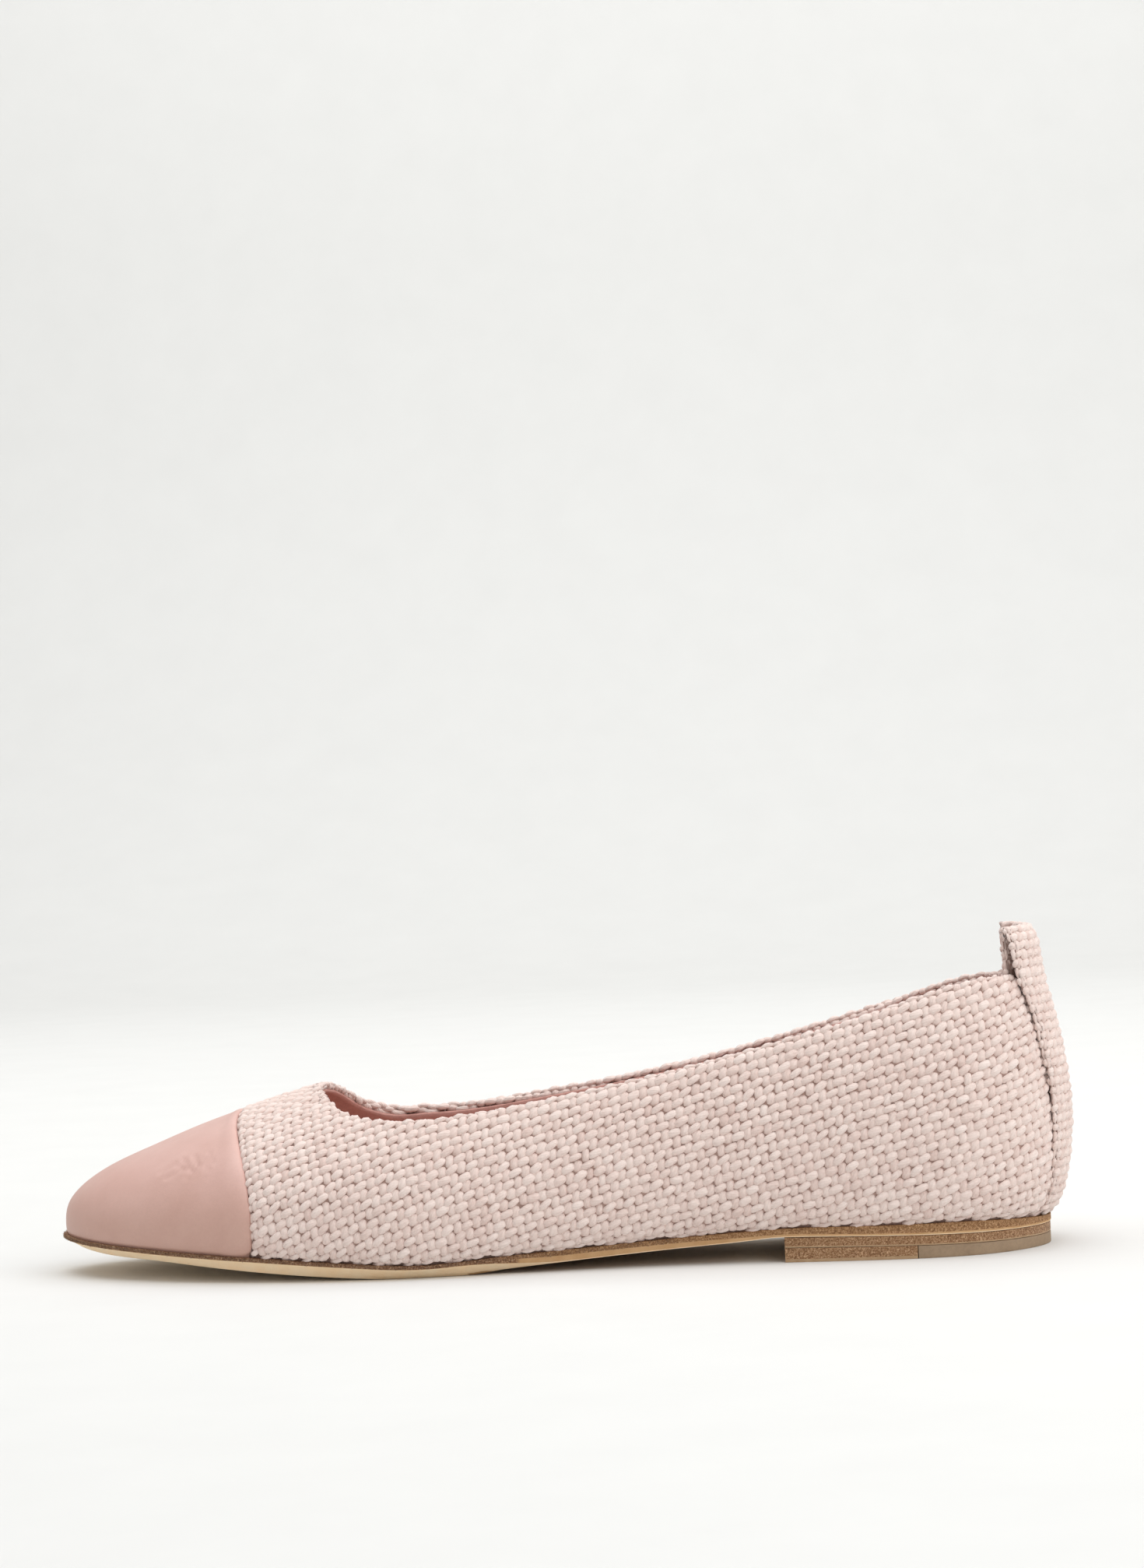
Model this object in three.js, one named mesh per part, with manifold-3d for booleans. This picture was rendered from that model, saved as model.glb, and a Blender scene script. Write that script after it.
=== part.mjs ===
// Ballet flat, left shoe, standing empty on its sole.
// Millimetres, Z up, toe towards -X, outer side of the foot towards -Y.
// The origin lies on the floor below the middle of the shoe.
import * as THREE from "three";
import { mergeVertices } from "three/addons/utils/BufferGeometryUtils.js";
import Module from "manifold-3d";

const wasm = await Module();
wasm.setup();

// Middle of the shoe's box in the numbers of the tables, moved to the origin
const middleX = 0.25;
const middleY = -0.52;

// Lengths and walls
const soleToe = -127.6;
const soleHeel = 121.5;
const upperToe = -127.4;
const upperHeel = 127.3;
const crownToe = -110;
const crownHeel = 104;
const toeSwing = 3;
const swingStart = 60;
const swingEnd = -80;
const wall = 2.4;
const seatGap = 0.3;
const featherInset = 0.7;
const skirtInset = 1;
const skirtDrop = 4;
const tuckFullness = 2.7;
const tuckCrowding = 0.7;

// Collar
const throatX = -60.2;
const collarTilt = 0.022;
const collarTiltCentre = -25;
const collarTiltRun = 15;
const collarEndX = 140;
const collarTopZ = 125;
const collarReachY = 70;
const collarCrowding = 1.5;

// Toe cap
const capThickness = 1;
const capSeamX = -80.8;
const capSeamSweep = 0.0047;
const capEdgeGap = 0.15;
const capReachX = -150;
const capReachY = 60;
const capReachLow = -20;
const capReachHigh = 90;

// Heel strip and its loop
const stripProud = 0.8;
const stripSunk = 0.8;
const stripSideGap = 0.4;
const stripFootZ = 9.2;
const loopTopZ = 78.8;
const loopTurnZ = 76.4;
const loopLegZ = 56;
const loopUnder = 0.4;
const loopStartZ = 64;
const loopLevelRun = 4;
const loopLean = 0.08;
const roomStep = 5;
const roomFootZ = 4;
const roomOver = 3;
const backTurnLimit = 0.9;

// Sole and heel
const soleEdgeForefoot = 1.25;
const bevelIn = 2.6;
const treadChamfer = 0.25;
const bevelFadeStart = -22;
const bevelFadeEnd = 6;
const flatToe = -40;
const flatHeel = -22;
const breastX = 56.6;
const topPieceSplitX = 88.8;
const topPieceHalfGap = 0.15;
const heelInset = 0.3;
const liftTopBreast = 5.8;
const liftTopBack = 4.9;
const liftBottomBreast = 3.7;
const liftBottomBack = 2.9;
const insoleThickness = 2.4;
const insoleInset = 1.8;
const insoleToeInset = 1.8;
const insoleToeX = -90;
const insoleToeRun = 20;

// How finely the forms are divided
const ringSteps = 44;
const upperLevels = 11;
const tuckLevels = 5;
const soleSteps = 48;
const collarSteps = 48;
const seamSteps = 24;
const stripColumns = 10;
const loopBends = 6;
const stripRows = 12;
const legRows = 3;
const heelSteps = 14;
const halvings = 26;
const markClearance = 0.02;

// Outline of the outsole seen from above: distance of each edge from the long axis
const solePlan = table(
  ["x", "lateral", "medial"],
  [
    [soleToe, toeSwing, toeSwing],
    [-124, -8.4, 13.0],
    [-117, -16.4, 19.4],
    [-106, -23.6, 25.2],
    [-92, -29.8, 30.2],
    [-75, -34.6, 34.4],
    [-58, -37.0, 36.4],
    [-42, -37.4, 35.4],
    [-25, -35.4, 31.4],
    [-5, -31.4, 25.4],
    [15, -28.2, 21.8],
    [35, -26.6, 21.2],
    [55, -26.8, 23.2],
    [75, -27.3, 25.6],
    [92, -26.6, 26.0],
    [106, -22.2, 22.2],
    [116, -13.8, 13.8],
    [soleHeel, 0, 0],
  ],
);

// Sections of the last: how far it swells past the sole, where it is widest, its crown and how full it is
const lastSections = table(
  ["x", "swellLateral", "swellMedial", "widestZ", "crownZ", "fullness"],
  [
    [upperToe, 0, 0, 12.8, 12.8, 2.1],
    [-126.6, 0.1, 0.1, 12.9, 17.2, 2.1],
    [-124, 0.5, 0.5, 13.0, 20.1, 2.1],
    [-116, 1.0, 1.0, 13.2, 25.4, 2.1],
    [-104, 1.5, 1.5, 13.6, 30.6, 2.1],
    [-88, 2.0, 2.0, 14.0, 37.2, 2.05],
    [-74, 2.2, 2.2, 14.4, 41.6, 2.0],
    [throatX, 2.4, 2.4, 15.0, 45.3, 1.95],
    [-40, 2.6, 2.8, 15.8, 51.5, 1.9],
    [-15, 3.0, 3.8, 17.5, 60.0, 1.9],
    [15, 3.4, 5.0, 20.0, 70.0, 1.9],
    [45, 3.4, 5.0, 23.0, 79.0, 1.9],
    [75, 3.2, 4.0, 26.0, 86.0, 1.95],
    [100, 3.2, 3.2, 28.5, 89.0, 2.0],
    [112, 2.8, 2.8, 29.5, 85.0, 2.0],
    [118.6, 2.1, 2.1, 30.2, 76.5, 2.0],
    [121.5, 1.4, 1.4, 30.6, 66.2, 2.0],
    [124.1, 0.9, 0.9, 31.0, 56.0, 2.0],
    [126.5, 0.3, 0.3, 31.5, 42.0, 2.0],
    [upperHeel, 0, 0, 32.0, 32.0, 2.0],
  ],
);

// Side view of the sole: feather line at the foot of the upper, and tread
const sideView = table(
  ["x", "feather", "tread"],
  [
    [soleToe, 10.3, 7.4],
    [-116, 9.4, 6.0],
    [-100, 8.3, 4.9],
    [-85, 7.3, 3.4],
    [-70, 6.3, 2.0],
    [-56, 5.2, 0.9],
    [-47, 4.5, 0.3],
    [flatToe, 3.95, 0],
    [-31, 3.6, 0],
    [flatHeel, 4.0, 0],
    [-12, 4.7, 1.0],
    [5, 5.6, 2.4],
    [25, 6.8, 3.8],
    [45, 8.0, 5.2],
    [breastX, 8.55, 6.1],
    [80, 8.6, 5.75],
    [108, 8.4, 5.35],
    [soleHeel, 7.4, 5.2],
  ],
);

// Height of the collar edge along the shoe
const collarLine = table(
  ["x", "height"],
  [
    [throatX, 45.25],
    [-58.6, 44.7],
    [-56, 43.55],
    [-52, 41.6],
    [-47, 39.85],
    [-40, 38.7],
    [-31, 38.35],
    [-20, 39.1],
    [-5, 41.1],
    [15, 44.3],
    [35, 48.2],
    [57, 53.4],
    [80, 59.5],
    [95, 64.0],
    [107, 66.8],
    [116, 67.6],
    [123, 66.8],
    [collarEndX, 66.8],
  ],
);

// Half width of the heel strip at each height
const stripWidths = table(
  ["z", "half"],
  [
    [0, 12],
    [stripFootZ, 12.5],
    [30, 13.6],
    [50, 14.6],
    [66, 15.2],
    [loopTopZ, 15.2],
    [100, 15.2],
  ],
);

function table(names, rows) {
  const columns = {};
  names.forEach((name, i) => {
    columns[name] = rows.map((row) => row[i]);
  });
  return columns;
}

// A smooth line through a column, level wherever its values turn back or stay the same
function smoothLine(knots, values) {
  const last = knots.length - 1;
  const step = (i) => knots[i + 1] - knots[i];
  const rise = (i) => (values[i + 1] - values[i]) / step(i);
  const slopes = knots.map((_, i) => {
    if (i === 0) return rise(0);
    if (i === last) return rise(last - 1);
    if (rise(i - 1) * rise(i) <= 0) return 0;
    return (rise(i - 1) * step(i) + rise(i) * step(i - 1)) / (step(i) + step(i - 1));
  });
  slopes[0] = 1.5 * rise(0) - 0.5 * slopes[1];
  slopes[last] = 1.5 * rise(last - 1) - 0.5 * slopes[last - 1];
  return (at) => {
    const place = Math.min(Math.max(at, knots[0]), knots[last]);
    let i = 0;
    while (i < last - 1 && knots[i + 1] <= place) i += 1;
    const t = (place - knots[i]) / step(i);
    const lead = t * t * (3 - 2 * t);
    const bow = step(i) * t * (1 - t);
    const straight = values[i] + (values[i + 1] - values[i]) * lead;
    return straight + bow * ((1 - t) * slopes[i] - t * slopes[i + 1]);
  };
}

// A turn runs from 0 at the back of the heel to pi at the tip of the toe
function turnOf(x, toe, heel) {
  const share = (2 * x - toe - heel) / (heel - toe);
  return Math.acos(Math.min(Math.max(share, -1), 1));
}

function placeOf(turn, toe, heel) {
  return (toe + heel) / 2 + ((heel - toe) / 2) * Math.cos(turn);
}

function roundLine(columns, name, toe, heel) {
  const turns = columns.x.map((x) => turnOf(x, toe, heel)).reverse();
  return smoothLine(turns, [...columns[name]].reverse());
}

const lateralEdge = roundLine(solePlan, "lateral", soleToe, soleHeel);
const medialEdge = roundLine(solePlan, "medial", soleToe, soleHeel);
const lastLine = (name) => roundLine(lastSections, name, upperToe, upperHeel);
const swellLateral = lastLine("swellLateral");
const swellMedial = lastLine("swellMedial");
const widestLine = lastLine("widestZ");
const crownLine = lastLine("crownZ");
const fullnessLine = lastLine("fullness");
const featherZ = smoothLine(sideView.x, sideView.feather);
const treadZ = smoothLine(sideView.x, sideView.tread);
const collarHeight = smoothLine(collarLine.x, collarLine.height);
const stripHalf = smoothLine(stripWidths.z, stripWidths.half);

function ease(share) {
  const t = Math.min(Math.max(share, 0), 1);
  return t * t * (3 - 2 * t);
}

function edgeY(turn, side) {
  return side < 0 ? lateralEdge(turn) : medialEdge(turn);
}

// Sole outline drawn in by a distance
function outlineAt(turn, side, inset) {
  const x = placeOf(turn, soleToe + inset, soleHeel - inset);
  return [x, edgeY(turn, side) - side * inset * Math.sin(turn)];
}

function widestAt(turn, side) {
  const swell = side < 0 ? swellLateral(turn) : swellMedial(turn);
  return [placeOf(turn, upperToe, upperHeel), edgeY(turn, side) + side * swell];
}

function crownY(x) {
  return toeSwing * ease((swingStart - x) / (swingStart - swingEnd));
}

// A point on the last. Level 0 is the crown, 1 the widest line, 2 the feather line.
function lastPoint(turn, side, level) {
  const [wideX, wideY] = widestAt(turn, side);
  if (level > 1) {
    const down = Math.min(level - 1, 1);
    const tuck = 1 - Math.pow(1 - Math.pow(down, tuckFullness), 1 / tuckFullness);
    const [footX, footY] = outlineAt(turn, side, featherInset);
    const wideZ = widestLine(turn);
    return new THREE.Vector3(
      wideX + (footX - wideX) * tuck,
      wideY + (footY - wideY) * tuck,
      wideZ + (featherZ(footX) - wideZ) * down,
    );
  }
  const crownX = placeOf(turn, crownToe, crownHeel);
  const x = crownX + (wideX - crownX) * level;
  const y = crownY(crownX) + (wideY - crownY(crownX)) * level;
  const here = turnOf(x, upperToe, upperHeel);
  const half = widestAt(here, side)[1] - crownY(x);
  const share = level === 1 ? 1 : Math.min(Math.max((y - crownY(x)) / (half || side), 0), 1);
  const fullness = fullnessLine(here);
  const arch = Math.pow(1 - Math.pow(share, fullness), 1 / fullness);
  const wideZ = widestLine(here);
  return new THREE.Vector3(x, y, wideZ + (crownLine(here) - wideZ) * arch);
}

// Outward direction of the last at a point
function lastNormal(turn, side, level) {
  const nudge = 0.004;
  if (level < nudge) {
    const x = placeOf(turn, crownToe, crownHeel);
    const fore = crownLine(turnOf(x - 1, upperToe, upperHeel));
    const aft = crownLine(turnOf(x + 1, upperToe, upperHeel));
    return new THREE.Vector3((fore - aft) / 2, 0, 1).normalize();
  }
  const swing = (at) => {
    if (at < 0) return lastPoint(-at, -side, level);
    if (at > Math.PI) return lastPoint(2 * Math.PI - at, -side, level);
    return lastPoint(at, side, level);
  };
  const along = swing(turn + nudge).sub(swing(turn - nudge));
  const low = Math.min(level + nudge, 2);
  const up = lastPoint(turn, side, low - 2 * nudge).sub(lastPoint(turn, side, low));
  return side < 0 ? up.cross(along).normalize() : along.cross(up).normalize();
}

function insetPoint(turn, side, level, inset) {
  return lastPoint(turn, side, level).addScaledVector(lastNormal(turn, side, level), -inset);
}

// Turns all round the shoe: outer side from heel to toe, then the inner side back
function ringTurns(turns) {
  const outer = turns.map((turn) => ({ turn, side: -1 }));
  const inner = turns.slice(1, -1).map((turn) => ({ turn, side: 1 }));
  return [...outer, ...inner.reverse()];
}

function evenTurns(steps) {
  return Array.from({ length: steps + 1 }, (_, i) => (Math.PI * i) / steps);
}

// A closed skin over rings stacked from the bottom up.
// The lowest and highest rings are filled straight across.
function skinOf(rings) {
  const count = rings[0].length;
  const half = count / 2;
  const corners = [];
  const tri = (a, b, c) => corners.push(a, b, c);
  const quad = (a, b, c, d) => {
    tri(a, b, c);
    tri(a, c, d);
  };
  for (let k = 0; k + 1 < rings.length; k += 1) {
    for (let i = 0; i < count; i += 1) {
      const j = (i + 1) % count;
      quad(rings[k][i], rings[k + 1][i], rings[k + 1][j], rings[k][j]);
    }
  }
  const low = rings[0];
  const high = rings[rings.length - 1];
  for (let i = 0; i < half; i += 1) {
    const across = (count - i) % count;
    const next = count - i - 1;
    quad(low[i], low[i + 1], low[next], low[across]);
    quad(high[i], high[across], high[next], high[i + 1]);
  }
  return solidFrom(corners);
}

function solidFrom(corners) {
  const raw = new THREE.BufferGeometry().setFromPoints(corners);
  const welded = mergeVertices(raw, 1e-4);
  const index = welded.index.array;
  const kept = [];
  for (let i = 0; i < index.length; i += 3) {
    const [a, b, c] = [index[i], index[i + 1], index[i + 2]];
    if (a !== b && b !== c && c !== a) kept.push(a, b, c);
  }
  return new wasm.Manifold(
    new wasm.Mesh({
      numProp: 3,
      vertProperties: welded.attributes.position.array,
      triVerts: new Uint32Array(kept),
    }),
  );
}

// The last drawn in by a distance. With a skirt it runs on straight down through the feather line.
function lastForm(inset, skirt) {
  const around = ringTurns(evenTurns(ringSteps));
  const levels = [];
  for (let k = 0; k < tuckLevels; k += 1) {
    levels.push(1 + Math.pow(Math.cos((Math.PI / 2) * (k / tuckLevels)), tuckCrowding));
  }
  for (let k = 0; k <= upperLevels; k += 1) {
    levels.push(Math.cos((Math.PI / 2) * (k / upperLevels)));
  }
  levels[levels.length - 1] = 0;
  const rings = levels.map((level) => {
    return around.map(({ turn, side }) => insetPoint(turn, side, level, inset));
  });
  if (skirt) {
    const ringAt = (drop) =>
      around.map(({ turn, side }) => {
        const [x, y] = outlineAt(turn, side, skirtInset);
        return new THREE.Vector3(x, y, featherZ(x) + drop);
      });
    rings[0] = ringAt(inset);
    rings.unshift(ringAt(-skirtDrop));
  }
  return skinOf(rings);
}

function pairs(outline) {
  return outline.map(([u, v]) => new THREE.Vector2(u, v));
}

// The outline taken round anticlockwise
function wound(outline) {
  return THREE.ShapeUtils.isClockWise(pairs(outline)) ? [...outline].reverse() : outline;
}

function filled(outline) {
  return THREE.ShapeUtils.triangulateShape(pairs(outline), []);
}

// A straight bar whose outline is given in two coordinates and carried between two places on the third
function barOf(drawn, toPoint, from, to) {
  const outline = wound(drawn);
  const flat = filled(outline);
  const near = outline.map(([u, v]) => toPoint(u, v, from));
  const far = outline.map(([u, v]) => toPoint(u, v, to));
  const corners = [];
  flat.forEach(([a, b, c]) => {
    corners.push(near[a], near[c], near[b]);
    corners.push(far[a], far[b], far[c]);
  });
  outline.forEach((_, i) => {
    const j = (i + 1) % outline.length;
    corners.push(near[i], near[j], far[j]);
    corners.push(near[i], far[j], far[i]);
  });
  return outward(solidFrom(corners), corners);
}

function outward(solid, corners) {
  if (solid.volume() > 0) return solid;
  const turned = [];
  for (let i = 0; i < corners.length; i += 3) turned.push(corners[i], corners[i + 2], corners[i + 1]);
  return solidFrom(turned);
}

// Everything above the collar edge
function collarSpace() {
  const outline = [];
  for (let i = 0; i <= collarSteps; i += 1) {
    const share = Math.pow(i / collarSteps, collarCrowding);
    const x = throatX + (collarEndX - throatX) * share;
    outline.push([x, collarHeight(x)]);
  }
  outline.push([collarEndX, collarTopZ], [throatX, collarTopZ]);
  return barOf(
    outline,
    (x, z, y) => {
      const lean = collarTilt * (y - collarTiltCentre) * Math.min((x - throatX) / collarTiltRun, 1);
      return new THREE.Vector3(x, y, z - lean);
    },
    -collarReachY,
    collarReachY,
  );
}

// Everything ahead of the toe cap's seam, moved back by a distance
function capSpace(back) {
  const outline = [];
  for (let i = 0; i <= seamSteps; i += 1) {
    const y = capReachY * ((2 * i) / seamSteps - 1);
    outline.push([capSeamX + back + capSeamSweep * (y - toeSwing) * (y - toeSwing), y]);
  }
  outline.push([capReachX, capReachY], [capReachX, -capReachY]);
  return barOf(outline, (x, y, z) => new THREE.Vector3(x, y, z), capReachLow, capReachHigh);
}

// Where the back of the last lies at a height and a distance from the middle
function backPlace(y, z) {
  const side = y < 0 ? -1 : 1;
  const levelAt = (turn) => {
    let high = 0;
    let low = 2;
    for (let k = 0; k < halvings; k += 1) {
      const middle = (high + low) / 2;
      if (lastPoint(turn, side, middle).z > z) high = middle;
      else low = middle;
    }
    return (high + low) / 2;
  };
  let near = 0;
  let far = backTurnLimit;
  for (let k = 0; k < halvings; k += 1) {
    const middle = (near + far) / 2;
    if (Math.abs(lastPoint(middle, side, levelAt(middle)).y) < Math.abs(y)) near = middle;
    else far = middle;
  }
  const turn = (near + far) / 2;
  const level = levelAt(turn);
  return { at: lastPoint(turn, side, level), out: lastNormal(turn, side, level) };
}

// A point of a band on the back of the heel.
// Above the collar the band stands up straight with a slight lean.
function bandPoint(y, depth, z) {
  const above = Math.max(z - loopStartZ, 0);
  const { at, out } = backPlace(y, z - above);
  if (above > 0) out.setZ(out.z * Math.max(1 - above / loopLevelRun, 0)).normalize();
  return at.addScaledVector(out, -depth).add(new THREE.Vector3(-loopLean * above, 0, above));
}

// A band on the back of the heel between an outer and an inner line.
// Each line is a row of depths below the surface of the last, with their heights.
function backBand(outer, inner, extraHalf) {
  const section = [...outer, ...[...inner].reverse()];
  const count = section.length;
  const columns = [];
  for (let i = 0; i <= stripColumns; i += 1) {
    const across = (2 * i) / stripColumns - 1;
    columns.push(
      section.map(([depth, z]) => {
        return bandPoint(across * (stripHalf(z) + extraHalf), depth, z);
      }),
    );
  }
  const corners = [];
  const quad = (a, b, c, d) => corners.push(a, b, c, a, c, d);
  for (let i = 0; i < stripColumns; i += 1) {
    for (let k = 0; k < count; k += 1) {
      const n = (k + 1) % count;
      quad(columns[i][k], columns[i][n], columns[i + 1][n], columns[i + 1][k]);
    }
  }
  const first = columns[0];
  const final = columns[stripColumns];
  for (let k = 0; k + 1 < outer.length; k += 1) {
    const facing = count - 1 - k;
    quad(first[k], first[facing], first[facing - 1], first[k + 1]);
    quad(final[k], final[k + 1], final[facing - 1], final[facing]);
  }
  return outward(solidFrom(corners), corners);
}

// One face of the strip: up the back, over in a fold, and down inside the collar
function stripFace(backDepth, legDepth, turnZ, topZ) {
  const line = [];
  for (let k = 0; k <= stripRows; k += 1) {
    line.push([backDepth, stripFootZ + (turnZ - stripFootZ) * (k / stripRows)]);
  }
  for (let k = 1; k < loopBends; k += 1) {
    const swing = (Math.PI * k) / loopBends;
    const depth = (backDepth + legDepth) / 2 + ((backDepth - legDepth) / 2) * Math.cos(swing);
    line.push([depth, turnZ + (topZ - turnZ) * Math.sin(swing)]);
  }
  for (let k = 0; k <= legRows; k += 1) {
    line.push([legDepth, turnZ + (loopLegZ - turnZ) * (k / legRows)]);
  }
  return line;
}

function stripForm() {
  const legNear = wall + seatGap;
  const legFar = legNear + stripProud + stripSunk;
  const outer = stripFace(-stripProud, legFar, loopTurnZ, loopTopZ);
  const underTopZ = loopTopZ - stripProud - stripSunk;
  const inner = stripFace(stripSunk, legNear, loopTurnZ - loopUnder, underTopZ);
  return backBand(outer, inner, 0);
}

// Room for the strip between two depths at the back of the upper
function stripRoom(fromZ, outerDepth, innerDepth) {
  const heights = [];
  for (let z = fromZ; z < loopTurnZ; z += roomStep) heights.push(z);
  const outer = heights.map((z) => [outerDepth, z]);
  const inner = heights.map((z) => [innerDepth, z]);
  return backBand(outer, inner, stripSideGap);
}

// Turns for the sole, with the ends of its flat spot and the heel breast among them
function soleTurns() {
  const marked = [flatToe, flatHeel, breastX].map((x) => turnOf(x, soleToe, soleHeel));
  const even = evenTurns(soleSteps).filter((turn) => {
    return marked.every((mark) => Math.abs(turn - mark) > markClearance);
  });
  return [...even, ...marked].sort((a, b) => a - b);
}

// Share of the forefoot bevel left at a place: whole in the forefoot, none from the waist back
function bevelShare(x) {
  return 1 - ease((x - bevelFadeStart) / (bevelFadeEnd - bevelFadeStart));
}

function outsoleForm() {
  const around = ringTurns(soleTurns());
  const ringOf = (inset, heightAt) =>
    around.map(({ turn, side }) => {
      const x0 = placeOf(turn, soleToe, soleHeel);
      const [x, y] = outlineAt(turn, side, inset(x0));
      return new THREE.Vector3(x, y, heightAt(x0));
    });
  const none = () => 0;
  const bevelEdge = (x) => treadChamfer + bevelIn * bevelShare(x);
  const top = (x) => featherZ(x) - seatGap;
  const edgeFoot = (x) => {
    const whole = top(x) - treadZ(x);
    const share = bevelShare(x);
    return top(x) - (soleEdgeForefoot * share + (whole - treadChamfer) * (1 - share));
  };
  return skinOf([ringOf(bevelEdge, treadZ), ringOf(none, edgeFoot), ringOf(none, top)]);
}

// A layer of the heel between two sloping planes, from one place to another along the shoe
function heelLayer(fromX, toX, bottom, top) {
  const back = soleHeel - heelInset;
  const first = turnOf(Math.min(toX, back), soleToe + heelInset, back);
  const final = turnOf(fromX, soleToe + heelInset, back);
  const turns = Array.from({ length: heelSteps + 1 }, (_, i) => first + ((final - first) * i) / heelSteps);
  const outer = turns.map((turn) => outlineAt(turn, -1, heelInset));
  const inner = turns.map((turn) => outlineAt(turn, 1, heelInset));
  const outline = [...outer, ...inner.reverse()];
  const seen = outline.filter(([x, y], i) => {
    const [px, py] = outline[(i + 1) % outline.length];
    return Math.hypot(px - x, py - y) > 1e-3;
  });
  return barOf(seen, (x, y, at) => new THREE.Vector3(x, y, at(x)), bottom, top);
}

function slope(atBreast, atBack) {
  return (x) => atBreast + ((atBack - atBreast) * (x - breastX)) / (soleHeel - breastX);
}

function insoleForm() {
  const around = ringTurns(soleTurns());
  const ringOf = (lift) =>
    around.map(({ turn, side }) => {
      const toeShare = ease((insoleToeX - placeOf(turn, soleToe, soleHeel)) / insoleToeRun);
      const [x, y] = outlineAt(turn, side, insoleInset + insoleToeInset * toeShare);
      return new THREE.Vector3(x, y, featherZ(x) + lift);
    });
  return skinOf([ringOf(0), ringOf(insoleThickness)]);
}

function meshOf(name, solid, colour, roughness) {
  const made = solid.getMesh();
  const geometry = new THREE.BufferGeometry();
  geometry.setAttribute("position", new THREE.BufferAttribute(made.vertProperties, 3));
  geometry.setIndex(new THREE.BufferAttribute(made.triVerts, 1));
  geometry.translate(-middleX, -middleY, 0);
  geometry.computeVertexNormals();
  const material = new THREE.MeshStandardMaterial({ color: colour, roughness, metalness: 0 });
  const mesh = new THREE.Mesh(geometry, material);
  mesh.name = name;
  return mesh;
}

const lastOuter = lastForm(0, false);
const lastInner = lastForm(wall, true);
const capUnder = lastForm(capThickness, true);
const capBed = lastForm(capThickness + seatGap, true);
const collar = collarSpace();
const strip = stripForm();

const capShell = lastOuter.subtract(capUnder).intersect(capSpace(-capEdgeGap));
const capHollow = capSpace(capEdgeGap).subtract(capBed);
const hollowUpper = lastOuter.subtract(lastInner).subtract(collar).subtract(capHollow);
const outerRoom = stripRoom(roomFootZ, -roomOver, stripSunk + seatGap);
const innerRoom = stripRoom(loopLegZ - roomStep, wall, wall + roomOver);
const upper = hollowUpper.subtract(outerRoom).subtract(innerRoom);

const soleUnderside = slope(liftTopBreast, liftTopBack);
const liftUnderside = slope(liftBottomBreast, liftBottomBack);
const topPieceTop = slope(liftBottomBreast - seatGap, liftBottomBack - seatGap);
const floorPlane = () => 0;
const frontEndX = topPieceSplitX - topPieceHalfGap;
const rearStartX = topPieceSplitX + topPieceHalfGap;

const shoe = new THREE.Group();
shoe.name = "ballet_flat";
shoe.add(
  meshOf("outsole", outsoleForm(), 0xa07850, 0.8),
  meshOf("heel_lift", heelLayer(breastX, soleHeel, liftUnderside, soleUnderside), 0x7d5a3c, 0.75),
  meshOf("top_piece_front", heelLayer(breastX, frontEndX, floorPlane, topPieceTop), 0x8a6544, 0.75),
  meshOf("top_piece_rear", heelLayer(rearStartX, soleHeel, floorPlane, topPieceTop), 0x8e745c, 0.9),
  meshOf("upper", upper, 0xecdcd6, 0.9),
  meshOf("toe_cap", capShell, 0xd8b3a9, 0.5),
  meshOf("heel_strip", strip, 0xe8d6cf, 0.9),
  meshOf("insole", insoleForm(), 0xb98a80, 0.7),
);

export default shoe;
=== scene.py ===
import math

import bpy
import numpy as np
from mathutils import Matrix, Vector


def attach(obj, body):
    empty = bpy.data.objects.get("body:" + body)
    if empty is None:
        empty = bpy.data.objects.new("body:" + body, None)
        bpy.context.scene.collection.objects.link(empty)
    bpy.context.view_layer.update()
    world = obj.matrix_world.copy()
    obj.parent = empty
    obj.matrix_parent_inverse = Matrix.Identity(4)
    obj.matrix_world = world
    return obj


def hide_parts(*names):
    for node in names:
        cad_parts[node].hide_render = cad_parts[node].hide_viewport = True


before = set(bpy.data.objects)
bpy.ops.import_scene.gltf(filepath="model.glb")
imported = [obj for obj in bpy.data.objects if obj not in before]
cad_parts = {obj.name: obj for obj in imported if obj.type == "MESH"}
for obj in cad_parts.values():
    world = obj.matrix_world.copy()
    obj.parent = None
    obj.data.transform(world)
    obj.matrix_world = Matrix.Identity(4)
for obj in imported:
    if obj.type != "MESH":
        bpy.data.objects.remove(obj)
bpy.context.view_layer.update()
mm = 0.001
sides = ((-1, "lateral"), (1, "medial"))

# the last, in millimetres; its tables run from the toe to the heel
last = {
    "middle": (0.25, -0.52, 0.0),  # where the frame's origin lies in the tables
    "heartZ": 12.0,
    "soleToe": -127.6, "soleHeel": 121.5, "upperToe": -127.4, "upperHeel": 127.3,
    "crownToe": -110.0,
    "toeSwing": 3.0, "swingStart": 60.0, "swingEnd": -80.0,
    "featherInset": 0.7,
    "tuckFullness": 2.7, "backTuck": 0.7, "backTuckRun": 0.6,  # less full at the back of the heel
    "throatX": -60.2,
    "seamX": -80.8, "seamSweep": 0.00515,
}
collar = {
    "tilt": 0.022, "tiltCentre": -25.0, "tiltRun": 15.0,
    "dip": 1.9, "dipSide": 8.0, "dipRise": 5.0,  # the inner side starts lower
    "dipHold": 4.0, "dipFade": 22.0,
    "throatFold": 0.45, "foldRun": 14.0,  # the fold is thinner at the throat
    "sink": 0.8, "sinkRun": 10.0,
    "backNear": 112.0, "backFar": 127.0,
}
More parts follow.
